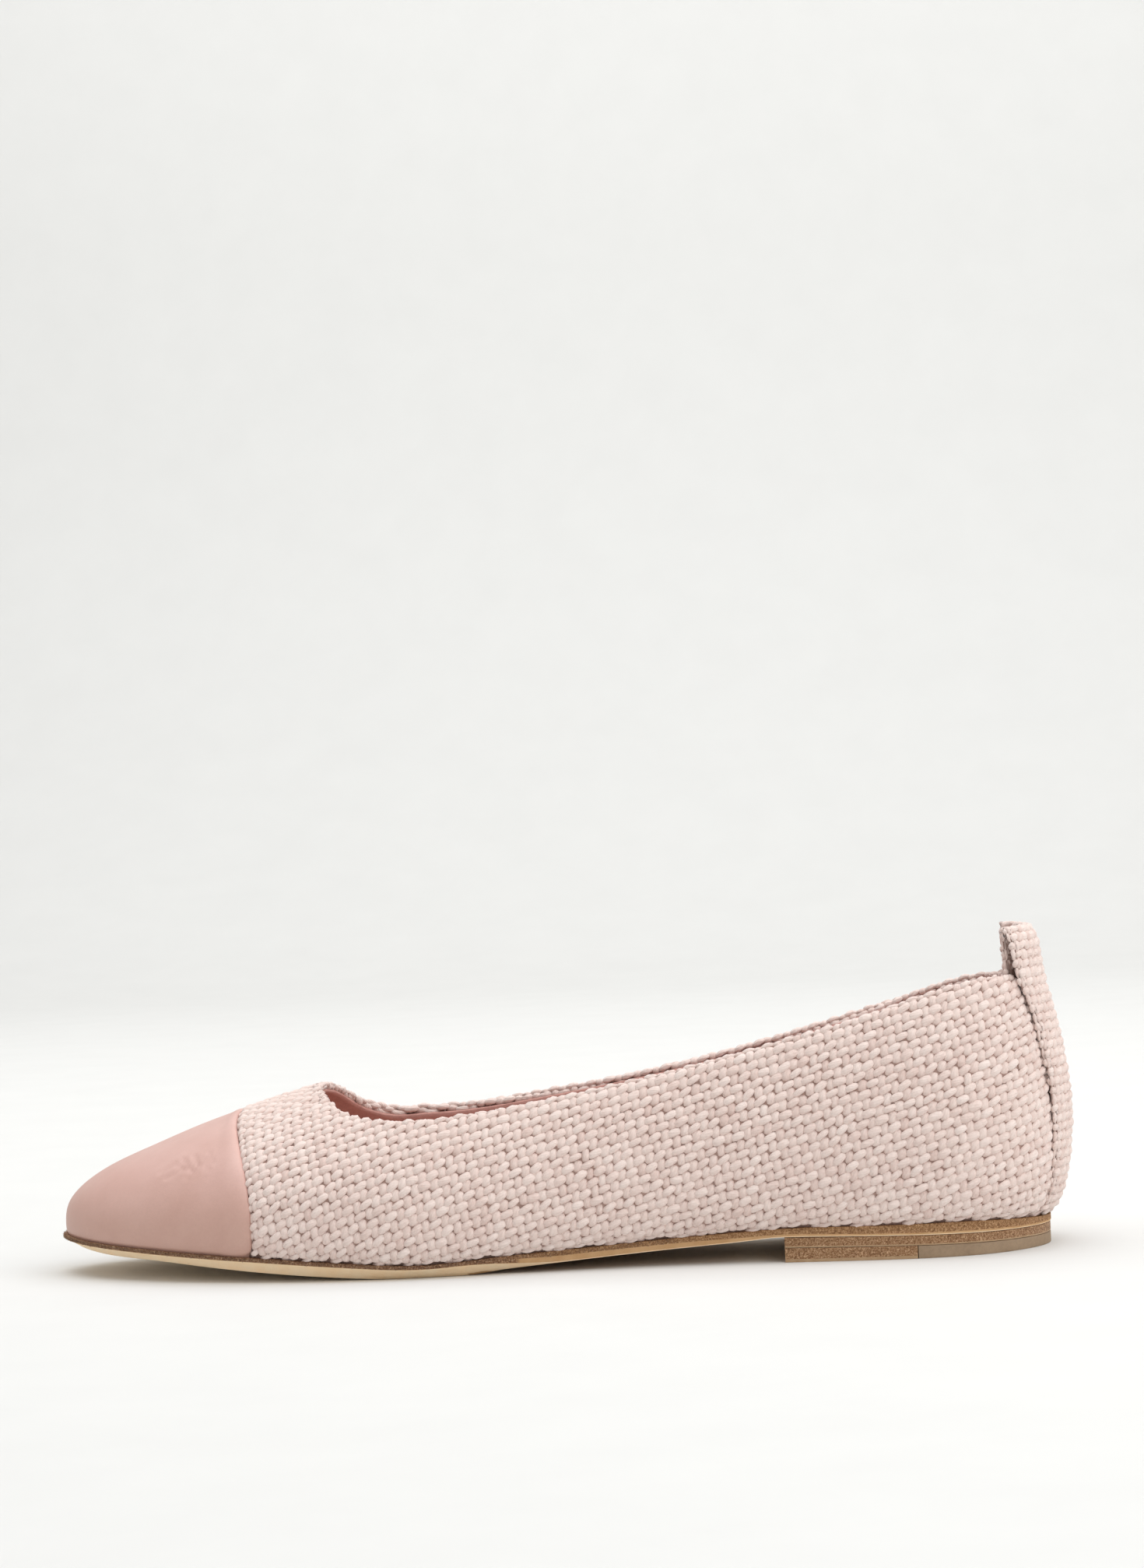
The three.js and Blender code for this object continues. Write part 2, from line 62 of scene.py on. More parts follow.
solePlan = np.array([  # x, lateral edge, medial edge
    (-127.6, 3.0, 3.0), (-124, -8.4, 13.0), (-117, -16.4, 19.4), (-106, -23.6, 25.2),
    (-92, -29.8, 30.2), (-75, -34.6, 34.4), (-58, -37.0, 36.4), (-42, -37.4, 35.4),
    (-25, -35.4, 31.4), (-5, -31.4, 25.4), (15, -28.2, 21.8), (35, -26.6, 21.2),
    (55, -26.8, 23.2), (75, -27.3, 25.6), (92, -26.6, 26.0), (106, -22.2, 22.2),
    (116, -13.8, 13.8), (121.5, 0.0, 0.0),
])
lastSections = np.array([  # x, swell lateral, swell medial, widest z, crown z, fullness
    (-127.4, 0, 0, 12.8, 12.8, 2.1), (-126.6, 0.1, 0.1, 12.9, 17.2, 2.1),
    (-124, 0.5, 0.5, 13.0, 20.7, 2.1), (-116, 1.0, 1.0, 13.2, 26.2, 2.1),
    (-104, 1.5, 1.5, 13.6, 31.3, 2.1), (-88, 2.0, 2.0, 14.0, 37.3, 2.05),
    (-74, 2.2, 2.2, 14.4, 41.6, 2.0), (-60.2, 2.4, 2.4, 15.0, 45.3, 1.95),
    (-40, 2.6, 2.8, 15.8, 51.5, 1.9), (-15, 3.0, 3.8, 17.5, 60.0, 1.9),
    (15, 3.4, 5.0, 20.0, 70.0, 1.9), (45, 3.4, 5.0, 23.0, 79.0, 1.9),
    (75, 3.2, 4.0, 26.0, 86.0, 1.95), (100, 3.2, 3.2, 28.5, 89.0, 2.0),
    (112, 2.8, 2.8, 29.5, 85.0, 2.0), (118.6, 2.1, 2.1, 30.2, 76.5, 2.0),
    (121.5, 1.4, 1.4, 30.6, 66.2, 2.0), (124.1, 0.9, 0.9, 31.0, 56.0, 2.0),
    (126.5, 0.3, 0.3, 31.5, 42.0, 2.0), (127.3, 0, 0, 32.0, 32.0, 2.0),
])
sideView = np.array([  # x, feather line, tread
    (-127.6, 10.3, 7.4), (-116, 9.4, 6.0), (-100, 8.3, 4.9), (-85, 7.3, 3.4), (-70, 6.3, 2.0),
    (-56, 5.2, 0.9), (-47, 4.5, 0.3), (-40, 3.95, 0), (-31, 3.6, 0), (-22, 4.0, 0), (-12, 4.7, 1.0),
    (5, 5.6, 2.4), (25, 6.8, 3.8), (45, 8.0, 5.2), (56.6, 8.55, 6.1), (80, 8.6, 5.75),
    (108, 8.4, 5.35), (121.5, 7.4, 5.2),
])
collarLine = np.array([  # x, height of the collar edge
    (-60.2, 45.25), (-58.6, 44.7), (-56, 43.55), (-52, 41.6), (-47, 39.85), (-40, 38.7), (-31, 38.35),
    (-20, 39.1), (-5, 41.1), (15, 44.3), (35, 48.2), (57, 53.4), (80, 59.5), (95, 64.0), (107, 66.8),
    (116, 67.6), (123, 66.8), (140, 66.8),
])


def smoothLine(knots, values):
    knots, values = np.asarray(knots, float), np.asarray(values, float)
    step = np.diff(knots)
    rise = np.diff(values) / step
    slopes = np.empty_like(knots)
    blend = (rise[:-1] * step[1:] + rise[1:] * step[:-1]) / (step[1:] + step[:-1])
    slopes[1:-1] = np.where(rise[:-1] * rise[1:] <= 0, 0, blend)
    slopes[0] = 1.5 * rise[0] - 0.5 * slopes[1]
    slopes[-1] = 1.5 * rise[-1] - 0.5 * slopes[-2]

    def line(at):
        place = np.clip(at, knots[0], knots[-1])
        i = np.clip(np.searchsorted(knots, place, side="right") - 1, 0, len(step) - 1)
        t = (place - knots[i]) / step[i]
        lead = values[i] + (values[i + 1] - values[i]) * t * t * (3 - 2 * t)
        return lead + step[i] * t * (1 - t) * ((1 - t) * slopes[i] - t * slopes[i + 1])

    return line


def turnOf(x, toe, heel):  # 0 at the back of the heel, pi at the tip of the toe
    return np.arccos(np.clip((2 * np.asarray(x, float) - toe - heel) / (heel - toe), -1, 1))


def placeOf(turn, toe, heel):
    return (toe + heel) / 2 + (heel - toe) / 2 * np.cos(turn)


def roundLine(table, column, toe, heel):
    return smoothLine(turnOf(table[:, 0], toe, heel)[::-1], table[::-1, column])


soleSpan = (last["soleToe"], last["soleHeel"])
upperSpan = (last["upperToe"], last["upperHeel"])
lateralEdge, medialEdge = (roundLine(solePlan, column, *soleSpan) for column in (1, 2))
swellLateral, swellMedial, widestLine, crownLine, fullnessLine = (
    roundLine(lastSections, column, *upperSpan) for column in range(1, 6)
)
featherZ, treadZ = (smoothLine(sideView[:, 0], sideView[:, column]) for column in (1, 2))
collarHeight = smoothLine(*collarLine.T)


def ease(share):
    t = np.clip(share, 0, 1)
    return t * t * (3 - 2 * t)


def unit(ways, floor=1e-6):
    return ways / np.maximum(np.linalg.norm(ways, axis=-1, keepdims=True), floor)


def edgeY(turn, side):
    return lateralEdge(turn) if side < 0 else medialEdge(turn)


def outlineAt(turn, side, inset):
    x = placeOf(turn, last["soleToe"] + inset, last["soleHeel"] - inset)
    return x, edgeY(turn, side) - side * inset * np.sin(turn)


def widestY(turn, side):
    return edgeY(turn, side) + side * (swellLateral(turn) if side < 0 else swellMedial(turn))


def crownY(x):
    return last["toeSwing"] * ease((last["swingStart"] - x) / (last["swingStart"] - last["swingEnd"]))


def domeZ(x, y, side):  # height of the last above its widest line, from a place in plan
    here = turnOf(x, *upperSpan)
    half = widestY(here, side) - crownY(x)
    half = np.where(np.abs(half) < 1e-6, side * 1e-6, half)
    share = np.clip((y - crownY(x)) / half, 0, 1)
    n, low = fullnessLine(here), widestLine(here)
    return low + (crownLine(here) - low) * (1 - share**n) ** (1 / n)


def tuckShare(turn, down):  # how far in the side has come, at a share of the way down to the feather line
    power = last["tuckFullness"] - last["backTuck"] * (1 - ease(turn / last["backTuckRun"]))
    return 1 - (1 - down**power) ** (1 / power)


def tuckRows(turn, side, downs):  # from the widest line to the feather line
    down = np.asarray(downs)[None, :]
    tuck = tuckShare(np.asarray(turn)[:, None], down)
    wideX, wideY, wideZ = placeOf(turn, *upperSpan), widestY(turn, side), widestLine(turn)
    footX, footY = outlineAt(turn, side, last["featherInset"])
    x = wideX[:, None] + (footX - wideX)[:, None] * tuck
    y = wideY[:, None] + (footY - wideY)[:, None] * tuck
    z = wideZ[:, None] + (featherZ(footX) - wideZ)[:, None] * down
    return np.stack([x, y, z], -1)


def along(points, share, measured=3):  # points at even shares of a polyline's length
    steps = np.linalg.norm(np.diff(points[:, :measured], axis=0), axis=1)
    length = np.concatenate([[0], np.cumsum(steps)])
    return np.stack([np.interp(share, length / length[-1], column) for column in points.T], -1)


# rows and columns of the cloth and the lining
layout = {
    "cornerX": -49.0, "cornerWideX": -42.0,  # where the throat curve turns into the side
    "vampColumns": 16, "wingColumns": 60,
    "throatRows": 7, "sideRows": 13,
    "downs": (0.2, 0.42, 0.64, 0.82, 0.94, 1.0),
    "throatSteps": 200, "edgeSteps": 600,
}


def collarEdge(x, y, drop):
    back = x - last["throatX"]
    fold = collar["throatFold"]
    shift = drop * (fold + (1 - fold) * ease(back / collar["foldRun"]))
    low = collarHeight(x + shift) - collar["sink"] * drop * ease((back + drop) / collar["sinkRun"])
    fade = ease(back / collar["dipRise"]) * (1 - ease((back - collar["dipHold"]) / collar["dipFade"]))
    low = low - collar["dip"] * ease((y - crownY(x)) / collar["dipSide"]) * fade
    lean = np.clip(back / collar["tiltRun"], 0, 1)
    return low - collar["tilt"] * (y - collar["tiltCentre"]) * lean


def topline(side, drop, x):  # points of the collar edge on the last
    here = turnOf(x, *upperSpan)
    half = widestY(here, side) - crownY(x)
    low, high, n = widestLine(here), crownLine(here), fullnessLine(here)
    y = crownY(x) + 0.7 * half  # a first guess, then drawn closer
    for _ in range(6):
        arch = np.clip((collarEdge(x, y, drop) - low) / np.maximum(high - low, 1e-6), 0, 1)
        y = crownY(x) + half * np.clip(1 - arch**n, 0, 1) ** (1 / n)
    return np.stack([x, y, domeZ(x, y, side)], -1)


def backEnd(drop):  # where the collar edge crosses the middle of the back
    near, far = collar["backNear"], collar["backFar"]
    for _ in range(40):
        middle = (near + far) / 2
        inside = crownLine(turnOf(middle, *upperSpan)) > collarEdge(middle, 0.0, drop)
        near, far = (middle, far) if inside else (near, middle)
    return near


def seamWide(side):  # where the cap's seam crosses the widest line
    x = last["seamX"]
    for _ in range(30):
        reach = widestY(turnOf(x, *upperSpan), side) - last["toeSwing"]
        x = last["seamX"] + last["seamSweep"] * reach**2
    return float(x)


def columnFrom(top, wide, side):  # plan places from a top point down to the widest line
    half = widestY(turnOf(top[0], *upperSpan), side) - crownY(top[0])
    share = np.clip((top[1] - crownY(top[0])) / half, 0, 0.999) if abs(half) > 1e-6 else 0.0
    reach = math.acos(share)
    climb = (1 - np.cos(reach * np.linspace(1, 0, layout["sideRows"] + 1))) / (1 - math.cos(reach))
    return wide[0] + (top[0] - wide[0]) * climb, wide[1] + (top[1] - wide[1]) * climb


def vampArcs(side, drop, shares):  # arcs from the ridge to the widest line, seam first and throat last
    throat = last["throatX"] - collar["throatFold"] * drop
    run = np.linspace(0, 1, layout["throatSteps"]) ** 2
    edge = topline(side, drop, throat + (layout["cornerX"] - throat) * run)
    edge[0, 1:] = crownY(throat), domeZ(throat, crownY(throat), side)
    upperPart = along(edge, np.linspace(0, 1, layout["throatRows"]))
    cornerX = layout["cornerWideX"]
    x, y = columnFrom(upperPart[-1], (cornerX, float(widestY(turnOf(cornerX, *upperSpan), side))), side)
    lastX = np.concatenate([upperPart[:-1, 0], x])
    lastY = np.concatenate([upperPart[:-1, 1], y])
    wideX = seamWide(side)
    wideY = float(widestY(turnOf(wideX, *upperSpan), side))
    q = (lastY - lastY[0]) / (lastY[-1] - lastY[0])
    seamX = last["seamX"] + (wideX - last["seamX"]) * q**2
    seamY = last["toeSwing"] + (wideY - last["toeSwing"]) * q
    arcs = []
    for share in shares:
        x = seamX + (lastX - seamX) * share
        y = seamY + (lastY - seamY) * share
        y = side * np.minimum(side * y, side * widestY(turnOf(x, *upperSpan), side))
        arcs.append(np.stack([x, y, domeZ(x, y, side)], -1))
    return np.array(arcs)


def upperBlocks(drop, shares, backGap):
    blocks = {}
    even = np.linspace(0, 1, layout["wingColumns"] + 1)
    count, back = layout["edgeSteps"], backEnd(drop)
    for side, word in sides:
        arcs = vampArcs(side, drop, shares)
        turns = turnOf(arcs[:, -1, 0], *upperSpan)
        blocks["vamp_" + word] = np.concatenate([arcs, tuckRows(turns, side, layout["downs"])], 1)
        run = (1 - np.linspace(0, 1, count)) ** 2
        edge = topline(side, drop, back - (back - layout["cornerX"]) * run)
        edge[-1, 1] = side * backGap
        turns = np.linspace(float(turnOf(layout["cornerWideX"], *upperSpan)), 0.0, count)
        wides = np.stack([placeOf(turns, *upperSpan), widestY(turns, side), turns], -1)
        wides = along(wides, even, 2)
        wides[-1, 1] = side * backGap
        columns = []
        for top, wide in zip(along(edge, even), wides):
            x, y = columnFrom(top, wide, side)
            columns.append(np.stack([x, y, domeZ(x, y, side)], -1))
        low = tuckRows(wides[:, 2], side, layout["downs"])
        low[-1, :, 1] = side * backGap
        blocks["wing_" + word] = np.concatenate([np.array(columns), low], 1)
    return blocks


def blockNormals(points):  # outward directions of a block of columns and rows
    out = unit(np.cross(np.gradient(points, axis=0), np.gradient(points, axis=1)), 1e-9)
    away = points * (0, 1, 1) - (0, 0, last["heartZ"])
    return out * np.sign((out * away).sum(-1).mean())


def toFrame(points):  # millimetres of the tables to metres of the frame
    return (np.asarray(points) - last["middle"]) * mm


def toTables(obj):
    return meshArray(obj) / mm + last["middle"]


def deselect():
    if bpy.context.object and bpy.context.object.mode != "OBJECT":
        bpy.ops.object.mode_set(mode="OBJECT")
    bpy.ops.object.select_all(action="DESELECT")


def pick(obj):
    deselect()
    obj.select_set(True)
    bpy.context.view_layer.objects.active = obj


def edit(obj, *steps):  # runs operators in turn on the whole mesh
    pick(obj)
    bpy.ops.object.mode_set(mode="EDIT")
    for step, settings in steps:
        bpy.ops.mesh.select_all(action="SELECT")
        step(**settings)
    bpy.ops.object.mode_set(mode="OBJECT")


def apply(obj, kind, **settings):
    pick(obj)
    modifier = obj.modifiers.new(kind.title(), kind)
    for key, value in settings.items():
        setattr(modifier, key, value)
    bpy.ops.object.modifier_apply(modifier=modifier.name)


def meshArray(obj):
    flat = np.empty(len(obj.data.vertices) * 3)
    obj.data.vertices.foreach_get("co", flat)
    return flat.reshape(-1, 3)


def setVerts(obj, points):
    obj.data.vertices.foreach_set("co", np.asarray(points, float).ravel())
    obj.data.update()


def setValues(obj, name, values):
    made = obj.data.attributes.new(name, "FLOAT", "POINT")
    made.data.foreach_set("value", values.astype(np.float32))


def gridPiece(name, points, ways=None):  # a plane cut into rows and columns, then laid over the points
    columns, rows = points.shape[:2]
    deselect()
    bpy.ops.mesh.primitive_grid_add(x_subdivisions=columns - 1, y_subdivisions=rows - 1, size=1)
    obj = bpy.context.object
    obj.name = obj.data.name = name
    flat = meshArray(obj)
    column = np.rint((flat[:, 0] + 0.5) * (columns - 1)).astype(int)
    row = np.rint((flat[:, 1] + 0.5) * (rows - 1)).astype(int)
    obj.matrix_world = Matrix.Identity(4)
    while obj.data.uv_layers:
        obj.data.uv_layers.remove(obj.data.uv_layers[0])
    setVerts(obj, toFrame(points[column, row]))
    if ways is not None:
        made = obj.data.attributes.new("rowWay", "FLOAT_VECTOR", "POINT")
        made.data.foreach_set("vector", ways[column, row].astype(np.float32).ravel())
    return obj


def weldMesh(obj, gap=0.02):
    edit(obj, (bpy.ops.mesh.remove_doubles, {"threshold": gap * mm}),
         (bpy.ops.mesh.dissolve_degenerate, {"threshold": 0.001 * mm}),
         (bpy.ops.mesh.normals_make_consistent, {"inside": False}))


def flip(obj):
    edit(obj, (bpy.ops.mesh.flip_normals, {}))


def dissolveNear(obj, place):  # takes out the one corner nearest to a place
    nearest = int(np.argmin(((meshArray(obj) - place) ** 2).sum(1)))
    pick(obj)
    bpy.ops.object.mode_set(mode="EDIT")
    bpy.ops.mesh.select_all(action="DESELECT")
    bpy.ops.mesh.select_mode(type="VERT")
    bpy.ops.object.mode_set(mode="OBJECT")
    obj.data.vertices[nearest].select = True
    bpy.ops.object.mode_set(mode="EDIT")
    bpy.ops.mesh.dissolve_verts()
    bpy.ops.object.mode_set(mode="OBJECT")


def joinPieces(name, pieces):
    deselect()
    for piece in pieces:
        piece.select_set(True)
    bpy.context.view_layer.objects.active = pieces[0]
    bpy.ops.object.join()
    pieces[0].name = pieces[0].data.name = name
    return pieces[0]


def loft(name, stations):  # closed sections, one for each station, drawn out over a cut plane
    obj = gridPiece(name, np.concatenate([stations, stations[:, :1]], 1))
    weldMesh(obj)
    edit(obj, (bpy.ops.mesh.fill_holes, {"sides": 0}),
         (bpy.ops.mesh.normals_make_consistent, {"inside": False}))
    return obj


def triangles(obj):
    obj.data.calc_loop_triangles()
    flat = np.empty(len(obj.data.loop_triangles) * 3, int)
    obj.data.loop_triangles.foreach_get("vertices", flat)
    return flat.reshape(-1, 3)


def vertexNormals(obj):
    points, tris = meshArray(obj), triangles(obj)
    first, second, third = (points[tris[:, k]] for k in range(3))
    facing = np.cross(second - first, third - first)
    out = np.zeros_like(points)
    for k in range(3):
        np.add.at(out, tris[:, k], facing)
    return unit(out, 1e-15)


def faceAway(obj, centre):  # an open sheet's faces point away from a place inside it
    if (vertexNormals(obj) * (meshArray(obj) - centre)).sum(1).mean() < 0:
        flip(obj)


def smooth(obj, angle=None):
    pick(obj)
    if angle is None:
        bpy.ops.object.shade_smooth()
    else:
        bpy.ops.object.shade_smooth_by_angle(angle=math.radians(angle))


def finishPiece(obj, material, node):
    obj.data.materials.clear()
    obj.data.materials.append(material)
    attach(obj, "root")
    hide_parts(node)


def copyShape(name, points, faces):  # one mesh of many copies of a small shape
    count, each = points.shape[:2]
    mesh = bpy.data.meshes.new(name)
    corners = np.concatenate([np.array(face) for face in faces])
    loops = (corners[None, :] + (np.arange(count) * each)[:, None]).ravel()
    ends = np.cumsum(np.tile([len(face) for face in faces], count))
    starts = np.concatenate([[0], ends[:-1]])
    mesh.vertices.add(count * each)
    mesh.vertices.foreach_set("co", (points.reshape(-1, 3) * mm).ravel())
    mesh.loops.add(len(loops))
    mesh.loops.foreach_set("vertex_index", loops.astype(np.int32))
    mesh.polygons.add(len(starts))
    mesh.polygons.foreach_set("loop_start", starts.astype(np.int32))
    mesh.update(calc_edges=True)
    mesh.validate()
    obj = bpy.data.objects.new(name, mesh)
    bpy.context.scene.collection.objects.link(obj)
    return obj


def takeShape():  # the active object's corners and faces, to copy; the object goes
    obj = bpy.context.object
    shape, faces = meshArray(obj), [tuple(face.vertices) for face in obj.data.polygons]
    bpy.data.objects.remove(obj)
    return shape, faces


# nodes that the materials share

def tone(red, green, blue):  # sRGB 0..255 to the linear values that sockets take
    c = np.array([red, green, blue]) / 255
    line = np.where(c <= 0.04045, c / 12.92, ((c + 0.055) / 1.055) ** 2.4)
    return (*[float(v) for v in line], 1.0)


def grey(value):
    return (value, value, value, 1.0)


def newMaterial(name, look):
    material = bpy.data.materials.new(name)
    material.use_nodes = True
    shader = material.node_tree.nodes["Principled BSDF"]
    shader.inputs["Roughness"].default_value = look["roughness"]
    shader.inputs["Sheen Weight"].default_value = look.get("sheen", 0.0)
    shader.inputs["Specular IOR Level"].default_value = look["specular"]
    coords = add(material.node_tree, "ShaderNodeTexCoord").outputs["Object"]
    return material, material.node_tree, shader.inputs, coords


def add(tree, kind, links=None, **values):
    made = tree.nodes.new(kind)
    for key, value in values.items():
        if key in made.inputs:
            made.inputs[key].default_value = value
        else:
            setattr(made, key, value)
    for key, source in (links or {}).items():
        tree.links.new(source, made.inputs[key])
    return made


def scaled(tree, source, factor):
    made = add(tree, "ShaderNodeMath", {0: source}, operation="MULTIPLY")
    made.inputs[1].default_value = factor
    return made.outputs[0]


def noise(tree, coords, scale, detail, rough=0.55, distortion=0.0):
    return add(tree, "ShaderNodeTexNoise", {"Vector": coords}, Scale=scale, Detail=detail,
               Roughness=rough, Distortion=distortion).outputs["Fac"]


def ramp(tree, source, *stops):
    made = add(tree, "ShaderNodeValToRGB", {"Fac": source})
    band = made.color_ramp
    while len(band.elements) < len(stops):
        band.elements.new(0.5)
    for element, (place, colour) in zip(band.elements, stops):
        element.position, element.color = place, colour
    return made.outputs["Color"]


def bump(tree, height, strength, distance, under=None):
    links = {"Height": height} if under is None else {"Height": height, "Normal": under}
    return add(tree, "ShaderNodeBump", links, Strength=strength, Distance=distance * mm).outputs["Normal"]


def mixColour(tree, fac, first, second, mode="MIX"):
    made = add(tree, "ShaderNodeMix", data_type="RGBA", blend_type=mode)
    for key, value in (("Factor", fac), ("A", first), ("B", second)):
        socket = [s for s in made.inputs if s.name == key and s.enabled][0]
        if isinstance(value, float):
            socket.default_value = value
        else:
            tree.links.new(value, socket)
    return [s for s in made.outputs if s.enabled][0]


def attribute(tree, name):
    return add(tree, "ShaderNodeAttribute", attribute_name=name).outputs["Fac"]


# what every smooth leather has in common
hide = {
    "toneStops": (0.3, 0.55, 0.75), "fineShare": 0.55, "specks": 0.86, "speckStops": (0.35, 0.6),
    # painted shade towards the sole: how fast it fades with height, and where it starts and ends
    "paintedShadeScale": 30.0, "paintedShadeStops": (0.38, 0.82),
    "poreDepth": 0.25, "fineGrain": 0.7, "fineDepth": 0.2,
    "glossStops": (0.3, 0.7), "glossSpread": (-0.08, 0.1),
}
cutEdge = {"scale": 2300, "detail": 4, "rough": 0.72, "distortion": 0.4, "stops": (0.34, 0.45, 0.54, 0.66)}


def tones(tree, source, stops, colours):
    return ramp(tree, source, *[(at, tone(*colour)) for at, colour in zip(stops, colours)])


def makeLeather(name, look):
    rough, grain = look["roughness"], look["grain"]
    material, tree, shader, coords = newMaterial(name, look)
    colour = tones(tree, noise(tree, coords, look["cloudScale"], 4, 0.6), hide["toneStops"], look["tones"])
    fine = noise(tree, coords, look["grainScale"] * hide["fineShare"], 5, 0.7)
    dark, clear = hide["speckStops"]
    specks = ramp(tree, fine, (dark, grey(look.get("specks", hide["specks"]))), (clear, grey(1.0)))
    colour = mixColour(tree, 1.0, colour, specks, "MULTIPLY")
    if "paintedShadeLow" in look:  # painted shade: warmer and darker towards the sole, where the cap lies in shade
        height = add(tree, "ShaderNodeSeparateXYZ", {0: coords}).outputs["Z"]
        stops = zip(hide["paintedShadeStops"], (look["paintedShadeLow"], grey(1.0)))
        shade = ramp(tree, scaled(tree, height, hide["paintedShadeScale"]), *stops)
        colour = mixColour(tree, 1.0, colour, shade, "MULTIPLY")
    tree.links.new(colour, shader["Base Color"])
    cells = add(tree, "ShaderNodeTexVoronoi", {"Vector": coords}, feature="SMOOTH_F1",
                Scale=look["grainScale"])
    pores = bump(tree, cells.outputs["Distance"], grain, hide["poreDepth"])
    tree.links.new(bump(tree, fine, grain * hide["fineGrain"], hide["fineDepth"], pores), shader["Normal"])
    stops = zip(hide["glossStops"], hide["glossSpread"])
    gloss = ramp(tree, fine, *[(at, grey(rough + more)) for at, more in stops])
    tree.links.new(gloss, shader["Roughness"])
    return material


def speckle(tree, coords, colours):  # raw cut leather: fine light and dark fibres
    fibres = noise(tree, coords, *(cutEdge[key] for key in ("scale", "detail", "rough", "distortion")))
    return tones(tree, fibres, cutEdge["stops"], colours), fibres


def clouded(tree, coords, scale, colours):  # two tones in soft clouds
    return tones(tree, noise(tree, coords, scale, 3), (0.3, 0.7), colours)


# woven cloth over the upper

clothSize = {
    "drop": 1.1,
    "backGap": 0.6,  # the two ends stay apart behind the heel strip
    "rimRadius": 1.0, "throatRim": 0.6, "innerTurn": 1.2, "rimSteps": 9, "innerSteps": 3,
    "leadShares": (-0.07, -0.03, 0, 0.03, 0.08), "firstShare": 0.14,
    "seamShares": (-0.07, -0.03, 0.0, 0.03, 0.06),  # where the cloth runs down under the edge of the cap
    "seamDips": (2.1, 1.6, 0.8, 0.2, 0.0),
    "turnDown": 1.3,
    "stripDip": 0.8, "stripRun": 1.7, "stripIn": 2.0, "stripX": 90.0,
    "hiddenX": 100.0, "hiddenIn": 2.6, "footGap": 0.3, "vampLap": 5.0,
    "groundDepth": 0.6, "groundThickness": 0.5,
    "warpPitch": 2.47, "weftPitch": 2.28, "seed": 11, "originZ": 45.0,
    "heelCentreX": 95.0, "heelBlend": 6.0,  # the rows turn round the heel from here
    "inside": (0.0, 0.0, 0.03),  # a place that its faces point away from
}
# the cloth seen between the yarns is coloured darker than the yarns: painted shade in the gaps
groundShadeLook = {
    "roughness": 0.9, "specular": 0.2, "cloudScale": 300, "grainScale": 1500, "grain": 0.4,
    "tones": ((166, 138, 128), (180, 152, 142), (194, 166, 156)),
}
yarnLook = {
    "toneStops": (0.2, 0.5, 0.78), "tones": ((220, 195, 186), (233, 214, 206), (241, 226, 219)),
    "roughness": 0.88, "specular": 0.25, "sheen": 0.25, "mottleScale": 900, "fibreScale": 5200,
    "plyTurns": 2.2, "plyBend": 1.2, "plyBump": (0.32, 0.18), "fibreBump": (0.5, 0.14),
}
# one yarn where it shows between two crossings, modelled once and copied
floatSize = {
    "sides": 8, "cuts": 4,
    "weftLength": 1.0, "weftWidth": 0.44, "weftThick": 0.8, "weftTop": 0.52, "weftSlant": 20.0,
    "warpLength": 0.9, "warpWidth": 0.5, "warpThick": 0.66, "warpTop": 0.16, "warpSlant": -13.0,
    "weftTaper": (0.82, 2.8), "warpTaper": (0.8, 3.0), "thinnest": 0.05,
    "weftDive": (1.0, 2.8), "warpDive": (0.9, 3.2),
    "bulk": 0.05, "yarns": 4000,  # thick and thin yarns
    "jitter": 0.09, "slantSpread": 5.0, "longSpread": 0.05, "wideSpread": 0.07, "topSpread": 0.06,
    # the warp yarns are tinted darker as painted shade under the weft floats above them
    "warpShade": -0.14, "tintSpread": 0.13, "bulkTint": 0.5,
    "plyLong": 0.4, "plyRound": 1.3,
    "margin": 3.0,
}
sheetGrid = {"cell": 0.35, "pad": 3.0, "grow": 8, "slack": 0.02, "reach": 0.4}
# the heel strip's half width at each height, and how far it is drawn in towards the sole
stripHalf = smoothLine([0, 9.2, 30, 50, 66, 78.8, 100], [12, 12.5, 13.6, 14.8, 16.6, 17.0, 17.0])
stripInset = smoothLine([9.2, 16, 25, 34, 45, 80], [0.75, 0.65, 0.4, 0.15, 0, 0])
# rise of the weave's rows towards the heel, in degrees, along the shoe
rowRise = smoothLine([-128, -84, -62, -45, -20, 20, 128], [21, 21, 20, 17, 13, 12.5, 12])


def makeYarn(look):
    material, tree, shader, coords = newMaterial("cotton_yarn", look)
    mottled = noise(tree, coords, look["mottleScale"], 3)
    both = add(tree, "ShaderNodeMath", {0: attribute(tree, "tint"), 1: mottled}, operation="ADD").outputs[0]
    colour = tones(tree, scaled(tree, both, 0.5), look["toneStops"], look["tones"])
    tree.links.new(colour, shader["Base Color"])
    uv = add(tree, "ShaderNodeUVMap", uv_map="yarn").outputs["UV"]
    plies = add(tree, "ShaderNodeTexWave", {"Vector": uv}, wave_type="BANDS", bands_direction="DIAGONAL",
                Scale=look["plyTurns"], Distortion=look["plyBend"], Detail=1.5)
    fibres = noise(tree, coords, look["fibreScale"], 3, 0.65)
    under = bump(tree, plies.outputs["Fac"], *look["plyBump"])
    tree.links.new(bump(tree, fibres, *look["fibreBump"], under), shader["Normal"])
    return material


def rowWays(points, out):  # direction of the rows at points of the last, on its surface
    x, y = points[..., 0], points[..., 1]
    angle = np.radians(rowRise(x))
    past = x - clothSize["heelCentreX"]
    back = np.maximum(past, 0)
    reach = np.maximum(np.hypot(back, y), 1e-6)
    side = np.where(y < crownY(x), -1.0, 1.0)
    behind = ease(past / clothSize["heelBlend"])
    planX = 1 + (side * y / reach - 1) * behind
    planY = -side * back / reach * behind
    ahead = np.stack([planX * np.cos(angle), planY * np.cos(angle), np.sin(angle)], -1)
    return unit(ahead - out * (ahead * out).sum(-1, keepdims=True))


